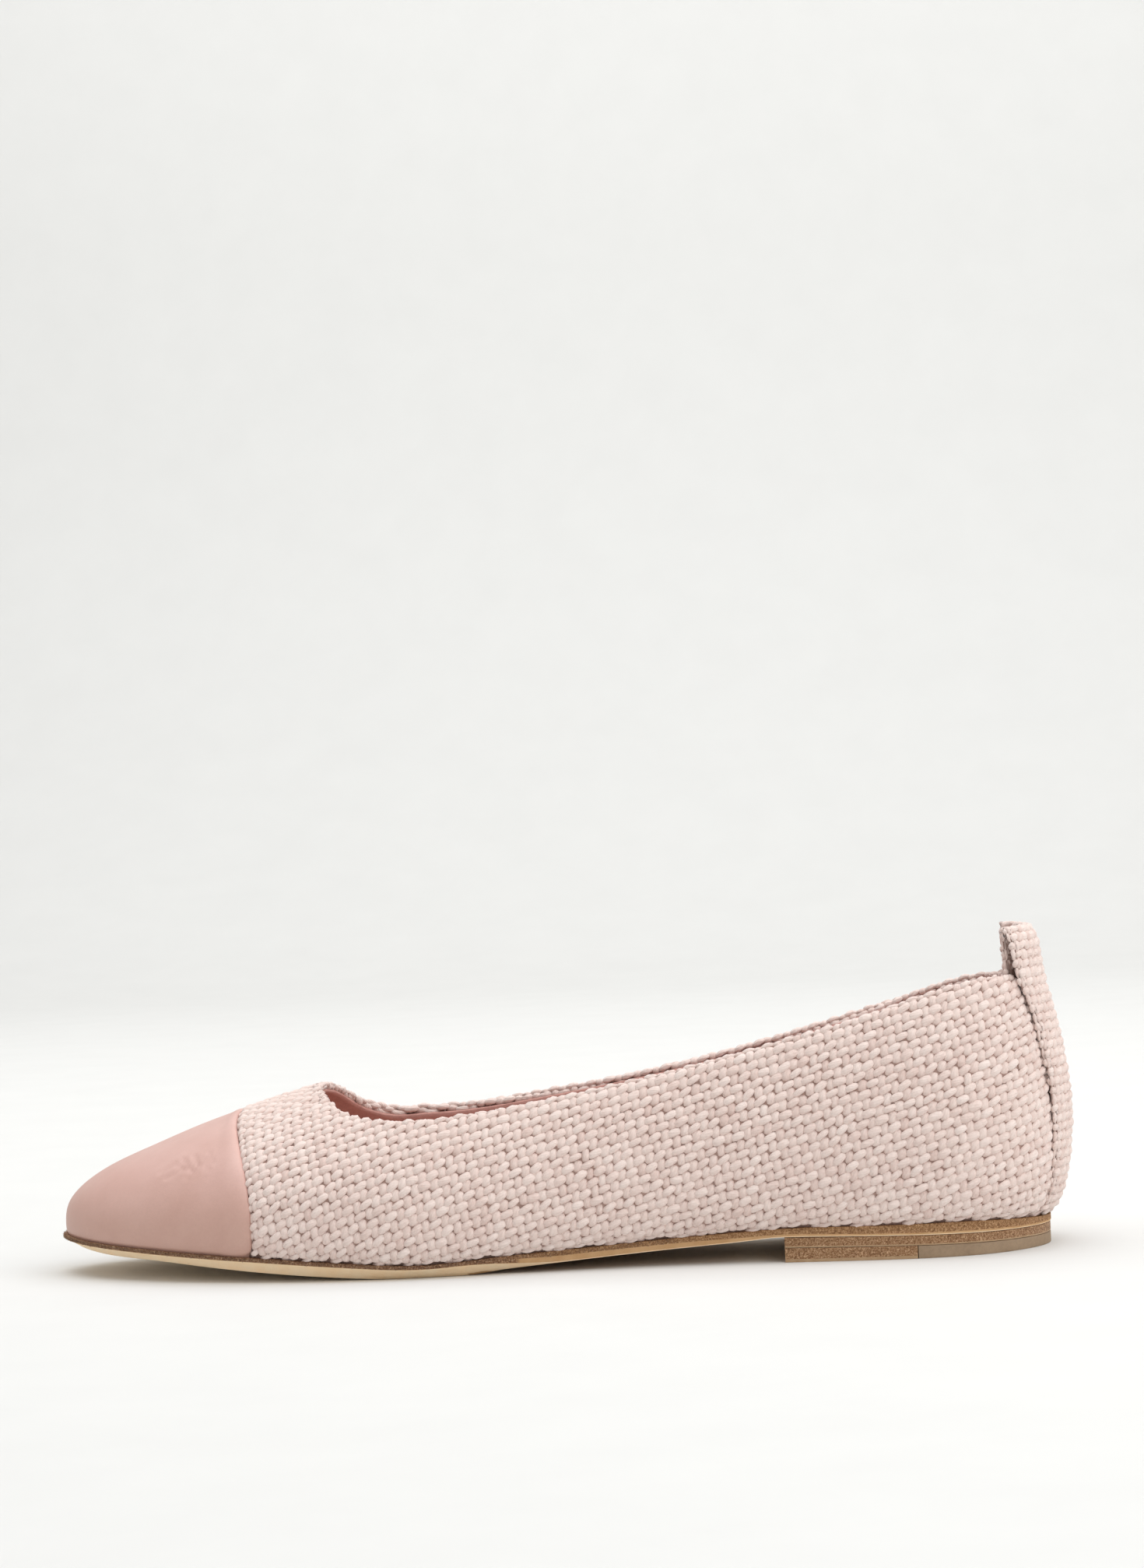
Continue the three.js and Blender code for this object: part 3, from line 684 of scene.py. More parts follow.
def toplinePath(blocks, normals):  # the opening's edge, from the outer to the inner side of the heel
    corner = layout["throatRows"] - 1
    runs = []
    for side, word in sides:
        wing, vamp = blocks["wing_" + word], blocks["vamp_" + word]
        wingOut, vampOut = normals["wing_" + word], normals["vamp_" + word]
        run = [np.concatenate([wing[::-1, 0], vamp[-1, :corner][::-1]]),
               np.concatenate([wingOut[::-1, 0], vampOut[-1, :corner][::-1]]),
               np.concatenate([wing[::-1, 1], vamp[-2, :corner][::-1]])]
        runs.append(run if side < 0 else [points[::-1][1:] for points in run])
    path, out, inward = (np.concatenate(pair) for pair in zip(*runs))
    run = unit(np.gradient(path, axis=0))
    up = unit(np.cross(out, run))
    up *= np.sign((up * (path - inward)).sum(1))[:, None]
    return path, out, up, run


def rimBlock(blocks, normals):  # the topline's fold from the outer face over to the inside
    size = clothSize
    path, out, up, run = toplinePath(blocks, normals)
    fuller = ease((path[:, :1] - last["throatX"]) / collar["foldRun"])
    radius = size["rimRadius"] * (size["throatRim"] + (1 - size["throatRim"]) * fuller)
    row = rowWays(path, out)
    alongRun, alongUp = (row * run).sum(1, keepdims=True), (row * up).sum(1, keepdims=True)
    rows, ways = [], []
    for swing in np.linspace(0, math.pi, size["rimSteps"]):
        rows.append(path + out * radius * (math.cos(swing) - 1) + up * radius * math.sin(swing))
        ways.append(run * alongRun + (up * math.cos(swing) - out * math.sin(swing)) * alongUp)
    for depth in np.linspace(0, size["innerTurn"], size["innerSteps"])[1:]:
        rows.append(path - out * 2 * radius - up * depth)
        ways.append(run * alongRun - up * alongUp)
    return np.stack(rows, 1), np.stack(ways, 1)


def layCloth():
    size = clothSize
    rest = np.linspace(size["firstShare"], 1, layout["vampColumns"] - 2)
    shares = np.concatenate([size["leadShares"], rest])
    blocks = upperBlocks(size["drop"], shares, size["backGap"])
    for name, points in blocks.items():  # a last row turned down behind the sole's edge
        blocks[name] = np.concatenate([points, points[:, -1:] - (0, 0, size["turnDown"])], 1)
    normals = {name: blockNormals(points) for name, points in blocks.items()}
    for _, word in sides:  # what lies under the cap faces as the seam does
        normals["vamp_" + word][:2] = normals["vamp_" + word][2]
    ways = {name: rowWays(points, normals[name]) for name, points in blocks.items()}
    seamDip = np.interp(shares, size["seamShares"], size["seamDips"])[:, None]
    for name, points in blocks.items():
        dip = seamDip
        if name.startswith("wing"):  # down under the edges of the heel strip
            x, y, z = np.moveaxis(points, -1, 0)
            beside = np.abs(y) - stripHalf(z)
            dip = size["stripDip"] * (1 - ease(beside / size["stripRun"]))
            dip = (dip + stripInset(z) * ease(-beside / size["stripIn"])) * (x > size["stripX"])
        blocks[name] = points - normals[name] * dip[..., None]
    sheets = [gridPiece(name, points, ways[name]) for name, points in blocks.items()]
    obj = joinPieces("upper_cloth", sheets + [gridPiece("rim", *rimBlock(blocks, normals))])
    weldMesh(obj)
    faceAway(obj, size["inside"])
    print("cloth laid over the last:", len(obj.data.polygons), "faces")
    return obj


def layFlat(obj, origin):  # flat places whose u runs along the rows, fitted over the whole sheet
    at, tris = toTables(obj), triangles(obj)
    a, b, c = (at[tris[:, k]] for k in range(3))
    out = np.cross(b - a, c - a)
    twice = np.maximum(np.linalg.norm(out, axis=1, keepdims=True), 1e-9)
    out = out / twice
    slopes = [np.cross(out, edge) / twice for edge in (c - b, a - c, b - a)]
    ways = np.empty(len(at) * 3)
    obj.data.attributes["rowWay"].data.foreach_get("vector", ways)
    row = ways.reshape(-1, 3)[tris].mean(1)
    row = unit(row - out * (row * out).sum(1, keepdims=True))
    weight = twice[:, 0] / 2
    count = len(at)
    system, wanted = np.zeros((count, count)), np.zeros((count, 2))
    for i in range(3):
        for j in range(3):
            np.add.at(system, (tris[:, i], tris[:, j]), weight * (slopes[i] * slopes[j]).sum(1))
        for k, field in enumerate((row, np.cross(out, row))):
            np.add.at(wanted[:, k], tris[:, i], weight * (slopes[i] * field).sum(1))
    system[np.arange(count), np.arange(count)] += 1e-7  # holds the fit in place
    uv = np.linalg.solve(system, wanted)
    uv -= uv[np.argmin(((at - origin) ** 2).sum(1))]
    return {"uv": uv, "tris": tris, "at": meshArray(obj) / mm, "out": vertexNormals(obj)}


def halfOf(sheet, side):  # the outer or the inner side's triangles, with a little of the other over the vamp
    x, y, _ = (sheet["at"][sheet["tris"]].mean(1) + last["middle"]).T
    over = np.where(x < last["throatX"] + 1, clothSize["vampLap"], 0.0)
    return {**sheet, "tris": sheet["tris"][(y - crownY(x)) * side > -over]}


def triShares(tri, points):
    a, b, c = tri[:, None, 0], tri[:, None, 1], tri[:, None, 2]
    v0, v1, v2 = b - a, c - a, points - a
    area = v0[..., 0] * v1[..., 1] - v0[..., 1] * v1[..., 0]
    area = np.where(np.abs(area) < 1e-12, 1e-12, area)
    second = (v2[..., 0] * v1[..., 1] - v2[..., 1] * v1[..., 0]) / area
    third = (v0[..., 0] * v2[..., 1] - v0[..., 1] * v2[..., 0]) / area
    return np.stack([1 - second - third, second, third], -1)


def chart(sheet):  # notes, in small squares of the flat sheet, which triangle lies there
    uv, cell, pad = sheet["uv"], sheetGrid["cell"], sheetGrid["pad"]
    low = uv.min(0) - pad
    ids = np.full(np.ceil((uv.max(0) + pad - low) / cell).astype(int) + 1, -1)
    for k, tri in enumerate((uv[sheet["tris"]] - low) / cell):
        first, final = np.floor(tri.min(0)).astype(int), np.ceil(tri.max(0)).astype(int) + 1
        gx, gy = np.meshgrid(*(np.arange(a, b) for a, b in zip(first, final)), indexing="ij")
        share = triShares(tri[None], np.stack([gx, gy], -1).reshape(1, -1, 2))[0]
        inside = (share > -sheetGrid["slack"]).all(-1).reshape(gx.shape)
        ids[first[0]:final[0], first[1]:final[1]][inside] = k
    covered = ids >= 0
    for _ in range(sheetGrid["grow"]):
        grown = ids.copy()
        for step in ((1, 0), (-1, 0), (0, 1), (0, -1)):
            moved = np.roll(ids, step, (0, 1))
            grown = np.where((grown < 0) & (moved >= 0), moved, grown)
        ids = grown
    return {**sheet, "low": low, "ids": ids, "covered": covered}


def squareOf(sheet, points):
    place = np.rint((points - sheet["low"]) / sheetGrid["cell"]).astype(int)
    return tuple(np.clip(place, 0, np.array(sheet["ids"].shape) - 1).T)


def onSheet(sheet, points):  # places and outward directions from flat places
    tri = sheet["tris"][np.maximum(sheet["ids"][squareOf(sheet, points)], 0)]
    reach = sheetGrid["reach"]
    share = np.clip(triShares(sheet["uv"][tri], points[:, None])[:, 0], -reach, 1 + reach)
    share /= share.sum(1, keepdims=True)
    spot, out = ((sheet[key][tri] * share[..., None]).sum(1) for key in ("at", "out"))
    return spot, unit(out, 1e-9)


def onSide(spot, side):  # on its own half, and not behind the heel strip
    x, y, z = (spot + last["middle"]).T
    hidden = (x > clothSize["hiddenX"]) & (np.abs(y) < stripHalf(z) - clothSize["hiddenIn"])
    above = z > featherZ(x) - clothSize["footGap"]
    return ((y - crownY(x)) * side > 0) & above & ~hidden


def modelFloat():
    deselect()
    bpy.ops.mesh.primitive_cylinder_add(vertices=floatSize["sides"], radius=1, depth=2, end_fill_type="NGON")
    bpy.ops.object.mode_set(mode="EDIT")
    for place in np.linspace(-1, 1, floatSize["cuts"] + 2)[1:-1]:
        bpy.ops.mesh.select_all(action="SELECT")
        bpy.ops.mesh.bisect(plane_co=(0, 0, float(place)), plane_no=(0, 0, 1))
    bpy.ops.object.mode_set(mode="OBJECT")
    return takeShape()


def weave(name, sheet, size, node, side=0, relief=1.0):
    fs = floatSize
    rng = np.random.default_rng(size["seed"])
    pitch = np.array([size["warpPitch"], size["weftPitch"]])
    low = np.floor((sheet["uv"].min(0) - fs["margin"]) / pitch)
    high = np.ceil((sheet["uv"].max(0) + fs["margin"]) / pitch) + 1
    grid = np.meshgrid(*(np.arange(int(a), int(b)) for a, b in zip(low, high)), indexing="ij")
    ci, cj = (cells.ravel() for cells in grid)
    centre = np.stack([ci, cj], -1) * pitch
    rowBulk, columnBulk = (rng.normal(0, fs["bulk"], fs["yarns"]) for _ in range(2))
    weft = (ci + cj) % 2 == 0
    bulk = np.where(weft, rowBulk[(cj - cj.min()) % fs["yarns"]], columnBulk[(ci - ci.min()) % fs["yarns"]])
    spread = rng.normal(0, 1, (len(centre), 8))
    centre = centre + spread[:, 6:] * fs["jitter"]
    used = sheet["covered"][squareOf(sheet, centre)]
    if side:
        used &= onSide(onSheet(sheet, centre)[0], side)
    centre, spread, weft, bulk = centre[used], spread[used], weft[used], bulk[used]

    def own(key):  # the weft's value or the warp's
        return np.where(weft, fs["weft" + key], fs["warp" + key])[:, None]

    def ownPair(key):
        return (np.where(weft, a, b)[:, None] for a, b in zip(fs["weft" + key], fs["warp" + key]))

    across, t = floatShape[:, 0], np.abs(floatShape[:, 2])
    lengths, widths = np.where(weft, *pitch)[:, None], np.where(weft, *pitch[::-1])[:, None]
    halfLong = own("Length") * lengths * (1 + fs["longSpread"] * spread[:, :1])
    halfWide = own("Width") * widths * (1 + bulk[:, None]) * (1 + fs["wideSpread"] * spread[:, 1:2])
    angle = own("Slant") + np.where(weft, 0, 90)[:, None] + fs["slantSpread"] * spread[:, 2:3]
    cos, sin = np.cos(np.radians(angle)), np.sin(np.radians(angle))
    share, power = ownPair("Taper")
    taper = np.sqrt(np.clip(1 - share * t**power, fs["thinnest"], 1))
    dive, power = ownPair("Dive")
    long, wide = halfLong * floatShape[:, 2], halfWide * (across * taper)
    top = relief * own("Top") + fs["topSpread"] * spread[:, 3:4]
    high = top - own("Thick") + own("Thick") * floatShape[:, 1] * taper - dive * t**power
    flat = np.stack([centre[:, :1] + cos * long - sin * wide, centre[:, 1:] + sin * long + cos * wide], -1)
    spot, out = onSheet(sheet, flat.reshape(-1, 2))
    points = (spot + out * high.reshape(-1, 1)).reshape(len(centre), -1, 3)
    # warps are painted darker as shade under the wefts; the spread and bulk give random tone
    tints = 0.5 + np.where(weft, 0, fs["warpShade"]) + fs["tintSpread"] * spread[:, 4] + fs["bulkTint"] * bulk
    obj = copyFloats(name, points, np.clip(tints, 0, 1), spread[:, 5])
    finishPiece(obj, yarn, node)
    print(name, len(centre), "yarn floats")


def copyFloats(name, points, tints, phase):
    count, each = points.shape[:2]
    obj = copyShape(name, points, floatFaces)
    mesh = obj.data
    loops = np.empty(len(mesh.loops), np.int32)
    mesh.loops.foreach_get("vertex_index", loops)
    setValues(obj, "tint", np.repeat(tints, each))
    around = np.arctan2(floatShape[:, 0], floatShape[:, 1]) / math.pi * floatSize["plyRound"]
    u = np.tile(floatShape[:, 2] * floatSize["plyLong"], (count, 1)) + phase[:, None]
    uv = np.stack([u, np.tile(around, (count, 1))], -1).reshape(-1, 2)
    layer = mesh.uv_layers.new(name="yarn")
    layer.data.foreach_set("uv", uv[loops].astype(np.float32).ravel())
    smooth(obj)
    return obj


def finishGround(obj, size, node):  # the cloth below its yarns, coloured darker as painted shade in the gaps between them
    setVerts(obj, meshArray(obj) - vertexNormals(obj) * size["groundDepth"] * mm)
    apply(obj, "SOLIDIFY", thickness=size["groundThickness"] * mm, offset=-1.0)
    smooth(obj)
    finishPiece(obj, groundShade, node)


yarn = makeYarn(yarnLook)
groundShade = makeLeather("cloth_ground_painted_shade", groundShadeLook)
cloth = layCloth()
floatShape, floatFaces = modelFloat()
clothFlat = layFlat(cloth, (last["throatX"], last["toeSwing"], clothSize["originZ"]))
for side, word in sides:
    weave("upper_weave_" + word, chart(halfOf(clothFlat, side)), clothSize, "upper", side)
finishGround(cloth, clothSize, "upper")

# toe cap

capSize = {
    "columns": 44, "rows": 40, "thickness": 0.9, "turnDown": 1.2, "inside": (-0.09, 0.0, 0.015),
    "edgeShares": (0, 0.012, 0.03, 0.055, 0.09),  # from the seam on, towards the toe
    "edgeLifts": (-0.8, -0.08, 0.195, 0.26, 0.0),  # the edge turns in behind a low ridge
    "creaseWidth": 0.55, "creaseDeep": 2.0, "lipHigh": 0.6, "lipAt": 1.6,
}
capCreases = [  # two ends of each fine crease on the outer side, in x and z, and its depth
    ((-97.5, 26.5), (-94.0, 28.4), 0.10), ((-95.5, 25.2), (-91.2, 27.6), 0.13),
    ((-93.6, 28.9), (-90.6, 27.2), 0.11), ((-91.8, 29.6), (-88.4, 27.0), 0.14),
    ((-90.0, 25.4), (-87.2, 28.6), 0.10), ((-88.6, 30.4), (-86.6, 28.2), 0.11),
    ((-85.6, 29.8), (-84.2, 27.4), 0.12), ((-84.6, 31.0), (-83.4, 29.0), 0.10),
]
capLook = {
    "roughness": 0.46, "specular": 0.42, "cloudScale": 60, "grainScale": 2600, "grain": 0.07,
    # painted shade: the cap is made darker and warmer low down, towards the sole
    "specks": 0.965, "paintedShadeLow": (0.88, 0.86, 0.81, 1),
    "tones": ((206, 166, 155), (212, 173, 163), (217, 180, 170)),
}


def capBlock(side, columnCount, rowCount):
    *lead, first = capSize["edgeShares"]
    shares = np.concatenate([lead, np.linspace(first, 1, columnCount - 3)])
    turnSeam = float(turnOf(seamWide(side), *upperSpan))
    turns = turnSeam + (math.pi - turnSeam) * shares
    q = np.cos(np.linspace(math.pi / 2, 0, rowCount))
    q[0] = 0
    columns = []
    for share, turn in zip(shares, turns):
        wideX, wideY = float(placeOf(turn, *upperSpan)), float(widestY(turn, side))
        crownX = last["seamX"] + (last["crownToe"] - last["seamX"]) * share
        bow = (1 - share) ** 2
        x = crownX + (wideX - crownX) * (q * (1 - bow) + q * q * bow)
        y = last["toeSwing"] + (wideY - last["toeSwing"]) * q
        columns.append(np.stack([x, y, domeZ(x, y, side)], -1))
    return np.concatenate([np.array(columns), tuckRows(turns, side, layout["downs"])], 1), shares


def pressCreases(obj):
    size = capSize
    spots, out = toTables(obj), vertexNormals(obj)
    for first, second, deep in capCreases:
        run = np.subtract(second, first)
        beside = spots[:, (0, 2)] - first
        share = np.clip(beside @ run / (run @ run), 0, 1)
        away = np.linalg.norm(beside - share[:, None] * run, axis=1) / size["creaseWidth"]
        dent = size["creaseDeep"] * deep * np.exp(-(away**2))
        dent -= size["lipHigh"] * deep * np.exp(-((away - size["lipAt"]) ** 2))
        spots = spots - out * (dent * (spots[:, 1] < 0) * (out[:, 1] < 0))[:, None]
    setVerts(obj, toFrame(spots))


def makeCap():
    size = capSize
    sheets = []
    for side, word in sides:
        block, shares = capBlock(side, size["columns"], size["rows"])
        outs = blockNormals(block)
        block = np.concatenate([block, block[:, -1:] - (0, 0, size["turnDown"])], 1)
        outs = np.concatenate([outs, outs[:, -1:]], 1)
        lift = np.interp(shares, size["edgeShares"], size["edgeLifts"])
        sheets.append(gridPiece("cap_" + word, block + outs * lift[:, None, None]))
    obj = joinPieces("toe_cap_leather", sheets)
    weldMesh(obj)
    hub = (last["crownToe"], last["toeSwing"], float(domeZ(last["crownToe"], last["toeSwing"], 1)))
    dissolveNear(obj, toFrame(hub))
    faceAway(obj, size["inside"])
    apply(obj, "SOLIDIFY", thickness=size["thickness"] * mm, offset=-1.0)
    apply(obj, "SUBSURF", levels=1, render_levels=1)
    pressCreases(obj)
    smooth(obj)
    finishPiece(obj, makeLeather("rose_leather", capLook), "toe_cap")
    print("toe cap:", len(obj.data.polygons), "faces")


makeCap()

# lining, with a thin rolled edge along its top

liningSize = {
    "drop": 1.5, "thickness": 0.7, "backGap": 0.05, "toeColumns": 20, "weld": 0.4, "inside": (0.0, 0.0, 0.02),
    "bead": 0.42, "beadDrop": 0.8, "beadOut": 0.05, "beadSides": 8,
}
liningLook = {
    "roughness": 0.6, "specular": 0.35, "cloudScale": 55, "grainScale": 1900, "grain": 0.2,
    "tones": ((196, 145, 134), (205, 155, 144), (213, 165, 154)),
}
beadLook = {**liningLook, "grain": 0.15, "tones": ((214, 172, 162), (222, 182, 171), (228, 190, 180))}
liningDepth = smoothLine(  # below the last; deepest where the cloth runs in under the cap
    [-128, -104, -86, -76, -67, last["throatX"], -46, 128], [2.3, 2.9, 3.7, 3.3, 2.2, 1.6, 2.35, 2.35])


def makeLining():
    size = liningSize
    blocks = upperBlocks(size["drop"], np.linspace(0, 1, layout["vampColumns"] + 1), size["backGap"])
    normals = {name: blockNormals(points) for name, points in blocks.items()}
    sheets = [gridPiece("lining_" + name, points - normals[name] * liningDepth(points[..., :1]))
              for name, points in blocks.items()]
    for side, word in sides:
        block, _ = capBlock(side, size["toeColumns"], layout["throatRows"] + layout["sideRows"])
        outs = blockNormals(block)
        outs[-1, 0] = outs[-2, 1]
        sheets.append(gridPiece("lining_toe_" + word, block - outs * liningDepth(block[..., :1])))
    obj = joinPieces("upper_lining", sheets)
    weldMesh(obj, size["weld"])
    faceAway(obj, size["inside"])
    apply(obj, "SOLIDIFY", thickness=size["thickness"] * mm, offset=-1.0)
    smooth(obj)
    finishPiece(obj, makeLeather("lining_leather", liningLook), "upper")
    print("lining:", len(obj.data.polygons), "faces")
    return toplinePath(blocks, normals)


def makeBead(path, out, up):
    size = liningSize
    centre = path - out * (liningDepth(path[:, :1]) + size["beadOut"]) - up * size["beadDrop"]
    turns = np.linspace(0, 2 * math.pi, size["beadSides"] + 1)[:-1]
    rings = [centre + size["bead"] * (out * math.cos(a) + up * math.sin(a)) for a in turns]
    obj = loft("lining_bead", np.stack(rings, 1))
    smooth(obj)
    finishPiece(obj, makeLeather("lining_edge_leather", beadLook), "upper")


liningEdge = makeLining()

# outsole, with raised fibres on its rough edge

soleSize = {
    "stations": 120, "across": 7,
    "seatGap": 0.3, "edgeForefoot": 1.0, "lip": 0.35,
    "bevelIn": 2.6, "bevelFadeStart": -22.0, "bevelFadeEnd": 6.0,
    "bevelBow": ((0.62, 0.42), (0.28, 0.76)),  # shares of the bevel's way in and up
    "chamfer": 0.25, "edgeRound": 0.22, "roundShare": 0.3, "topIn": 2.5,
    "treadIn": 0.5, "treadRound": 0.06,
    "footIn": 0.1, "footLow": 0.03, "footHigh": 0.12, "bandFade": 0.07,
    "zones": {"tread": 0.0, "bevel": 0.3, "band": 0.65, "edge": 1.0},
    "treadGap": 0.03, "footGap": 0.02, "bandGap": 0.02, "smoothAngle": 40,
}
# share of the edge that is smooth, from its foot up, behind the ball
bandShare = smoothLine([0, 30, 62, 128], [0.5, 0.46, 0.2, 0.18])
soleLook = {
    "roughness": 0.75, "specular": 0.3, "cloudScale": 240, "bump": (0.6, 0.35),
    "edge": ((108, 74, 48), (146, 107, 72), (172, 131, 92), (208, 172, 130)),
    "toeEdge": ((88, 60, 43), (126, 90, 65), (152, 115, 86), (216, 182, 150)),
    "cream": ((255, 224, 184), (255, 232, 198)), "tan": ((196, 154, 108), (210, 170, 126)),
}
fibreSize = {
    "count": 7000, "long": 0.42, "spread": 0.16, "shortest": 0.15, "longest": 0.8, "radius": 0.075,
    "backX": 30.0, "topGap": 0.1, "toeShare": 0.95, "rootIn": 0.06, "nextTurn": 0.01,
    "rise": 0.5, "riseSpread": 0.6, "seed": 31,
}
fibreLook = {
    "roughness": 0.8, "specular": 0.25, "cloudScale": 1500, "grainScale": 2300, "grain": 0.1, "sheen": 0.2,
    "tones": ((120, 86, 62), (168, 130, 98), (226, 194, 160)),
}


def makeSoleLeather(look):
    material, tree, shader, coords = newMaterial("sole_leather", look)
    edge, fuzz = speckle(tree, coords, look["edge"])
    toeEdge, _ = speckle(tree, coords, look["toeEdge"])
    cream, tan = (clouded(tree, coords, look["cloudScale"], look[key]) for key in ("cream", "tan"))
    zone = attribute(tree, "zone")
    edge = mixColour(tree, attribute(tree, "toe"), edge, toeEdge)
    colour = tan
    for start, end, paint in ((0.10, 0.16, cream), (0.40, 0.46, tan), (0.78, 0.88, edge)):
        colour = mixColour(tree, ramp(tree, zone, (start, grey(0)), (end, grey(1))), colour, paint)
    tree.links.new(colour, shader["Base Color"])
    tree.links.new(bump(tree, fuzz, *look["bump"]), shader["Normal"])
    return material


def soleSection(turn, rings, across):  # closed, from rings of an inset and a height, bottom first
    lateral, medial = (np.array([(*map(float, outlineAt(turn, side, inset)), float(height))
                                 for inset, height in rings]) for side, _ in sides)
    even = np.linspace(0, 1, across + 2)[1:-1, None]
    under = medial[0] + (lateral[0] - medial[0]) * even
    over = lateral[-1] + (medial[-1] - lateral[-1]) * even
    return np.concatenate([under, lateral, over, medial[::-1]])


def soleEdge(x):  # how far the bevel goes, the top of the edge and the edge's height
    size = soleSize
    share = 1 - ease((x - size["bevelFadeStart"]) / (size["bevelFadeEnd"] - size["bevelFadeStart"]))
    topZ = featherZ(x) - size["seatGap"]
    return share, topZ, size["edgeForefoot"] * share + (topZ - treadZ(x) - size["chamfer"]) * (1 - share)


def makeSole():
    size = soleSize
    sections = []
    for turn in np.linspace(0, math.pi, size["stations"] + 1):
        x = float(placeOf(turn, *soleSpan))
        share, topZ, edge = soleEdge(x)
        lowZ, foot, band = treadZ(x), topZ - edge, bandShare(x)
        inset, lip = size["chamfer"] + size["bevelIn"] * share, size["lip"] * share
        rim, less = size["edgeRound"], size["edgeRound"] * size["roundShare"]
        rings = [(inset + size["treadIn"], lowZ), (inset, lowZ + size["treadRound"])]
        rings += [(inset * way, lowZ + (foot - lowZ) * up) for way, up in size["bevelBow"]]
        rings += [
            (size["footIn"] - lip, foot - size["footLow"]), (-lip, foot + size["footHigh"]),
            (-lip, foot + edge * band), (-lip, foot + edge * (band + size["bandFade"])),
            (-lip, topZ - rim), (less - lip, topZ - less), (rim - lip, topZ), (rim + size["topIn"], topZ),
        ]
        sections.append(soleSection(turn, rings, size["across"]))
    obj = loft("outsole_leather", np.array(sections))
    smooth(obj, size["smoothAngle"])
    x, _, z = toTables(obj).T
    share, topZ, edge = soleEdge(x)
    foot, zones = topZ - edge, size["zones"]
    onBand = (z < foot + edge * (bandShare(x) + size["bandGap"])) & (share < 0.5)
    zone = np.where(z > treadZ(x) + size["treadGap"], zones["bevel"], zones["tread"])
    zone = np.where(z > foot + size["footGap"], np.where(onBand, zones["band"], zones["edge"]), zone)
    setValues(obj, "zone", zone)
    setValues(obj, "toe", share)
    finishPiece(obj, makeSoleLeather(soleLook), "outsole")


def makeFibres():  # from the toe to the waist
    size = fibreSize
    rng = np.random.default_rng(size["seed"])
    count = size["count"]
    turn = rng.uniform(float(turnOf(size["backX"], *soleSpan)), math.pi, count)
    side = np.where(rng.random(count) < 0.5, -1, 1)
    height, spread = rng.random(count), rng.normal(0, 1, (count, 3))
    here, ahead = np.empty((count, 2)), np.empty((count, 2))
    for which, _ in sides:
        mask = side == which
        here[mask] = np.stack(outlineAt(turn[mask], which, 0.0), -1)
        ahead[mask] = np.stack(outlineAt(np.minimum(turn[mask] + size["nextTurn"], math.pi), which, 0.0), -1)
    run = unit(ahead - here)
    away = np.stack([run[:, 1], -run[:, 0]], -1) * side[:, None]
    share, topZ, edge = soleEdge(here[:, 0])
    low = topZ - edge * np.where(share < 0.5, 1 - bandShare(here[:, 0]), size["toeShare"])
    z = low + (topZ - size["topGap"] - low) * height
    root = np.column_stack([here + away * (soleSize["lip"] * share - size["rootIn"])[:, None], z])
    rise = size["riseSpread"] * spread[:, 1] + size["rise"]
    way = unit(np.column_stack([away + run * spread[:, :1], rise]))
    across = unit(np.cross(way, (0.0, 0.0, 1.0)))
    third = np.cross(way, across)
    long = np.clip(size["long"] + size["spread"] * spread[:, 2], size["shortest"], size["longest"])
    deselect()
    bpy.ops.mesh.primitive_cone_add(vertices=3, radius1=1, depth=1, location=(0, 0, 0.5),
                                    end_fill_type="NGON")
    bpy.ops.object.transform_apply(location=True, rotation=False, scale=False)
    shape, faces = takeShape()
    around = across[:, None] * shape[:, :1] + third[:, None] * shape[:, 1:2]
    points = root[:, None] + size["radius"] * around
    points = points + way[:, None] * shape[:, 2:] * long[:, None, None]
    obj = copyShape("outsole_fibres", points - last["middle"], faces)
    finishPiece(obj, makeLeather("fibre_leather", fibreLook), "outsole")


makeSole()
makeBead(*liningEdge[:3])
makeFibres()
print("outsole made")

# heel lift and the two halves of the top piece

heelSize = {
    "breastX": 56.6, "splitX": 88.8, "halfGap": 0.1, "inset": 0.2, "stations": 36, "across": 5,
    "round": 0.2, "roundShare": 0.3, "fade": 0.1, "smoothAngle": 35,
    "liftTop": (6.0, 5.1), "liftBottom": (3.6, 2.8), "gap": 0.08,
    "liftBand": 0.3, "frontBand": 0.75, "rearBand": 0.3,
}
liftLook = {
    "roughness": 0.8, "specular": 0.25, "sheen": 0.15, "bump": (0.7, 0.4), "cloudScale": 260,
    "speckles": ((100, 68, 44), (140, 102, 70), (168, 130, 95), (212, 178, 142)),
    "band": ((178, 146, 112), (196, 166, 132)),
}
rubberLook = {
    "roughness": 0.7, "specular": 0.3, "cloudScale": 120, "grainScale": 1800, "grain": 0.12,
    "tones": ((152, 129, 105), (160, 137, 112), (168, 145, 120)),
}


def makeStacked(look):  # speckled above its band, smooth and lighter on it
    material, tree, shader, coords = newMaterial("stacked_leather", look)
    colour, fibres = speckle(tree, coords, look["speckles"])
    band = clouded(tree, coords, look["cloudScale"], look["band"])
    above = ramp(tree, attribute(tree, "zone"), (0.4, grey(0)), (0.6, grey(1)))
    tree.links.new(mixColour(tree, above, band, colour), shader["Base Color"])
    tree.links.new(bump(tree, fibres, *look["bump"]), shader["Normal"])
    return material


def heelSlope(ends, x):
    share = (x - heelSize["breastX"]) / (last["soleHeel"] - heelSize["breastX"])
    return ends[0] + (ends[1] - ends[0]) * share


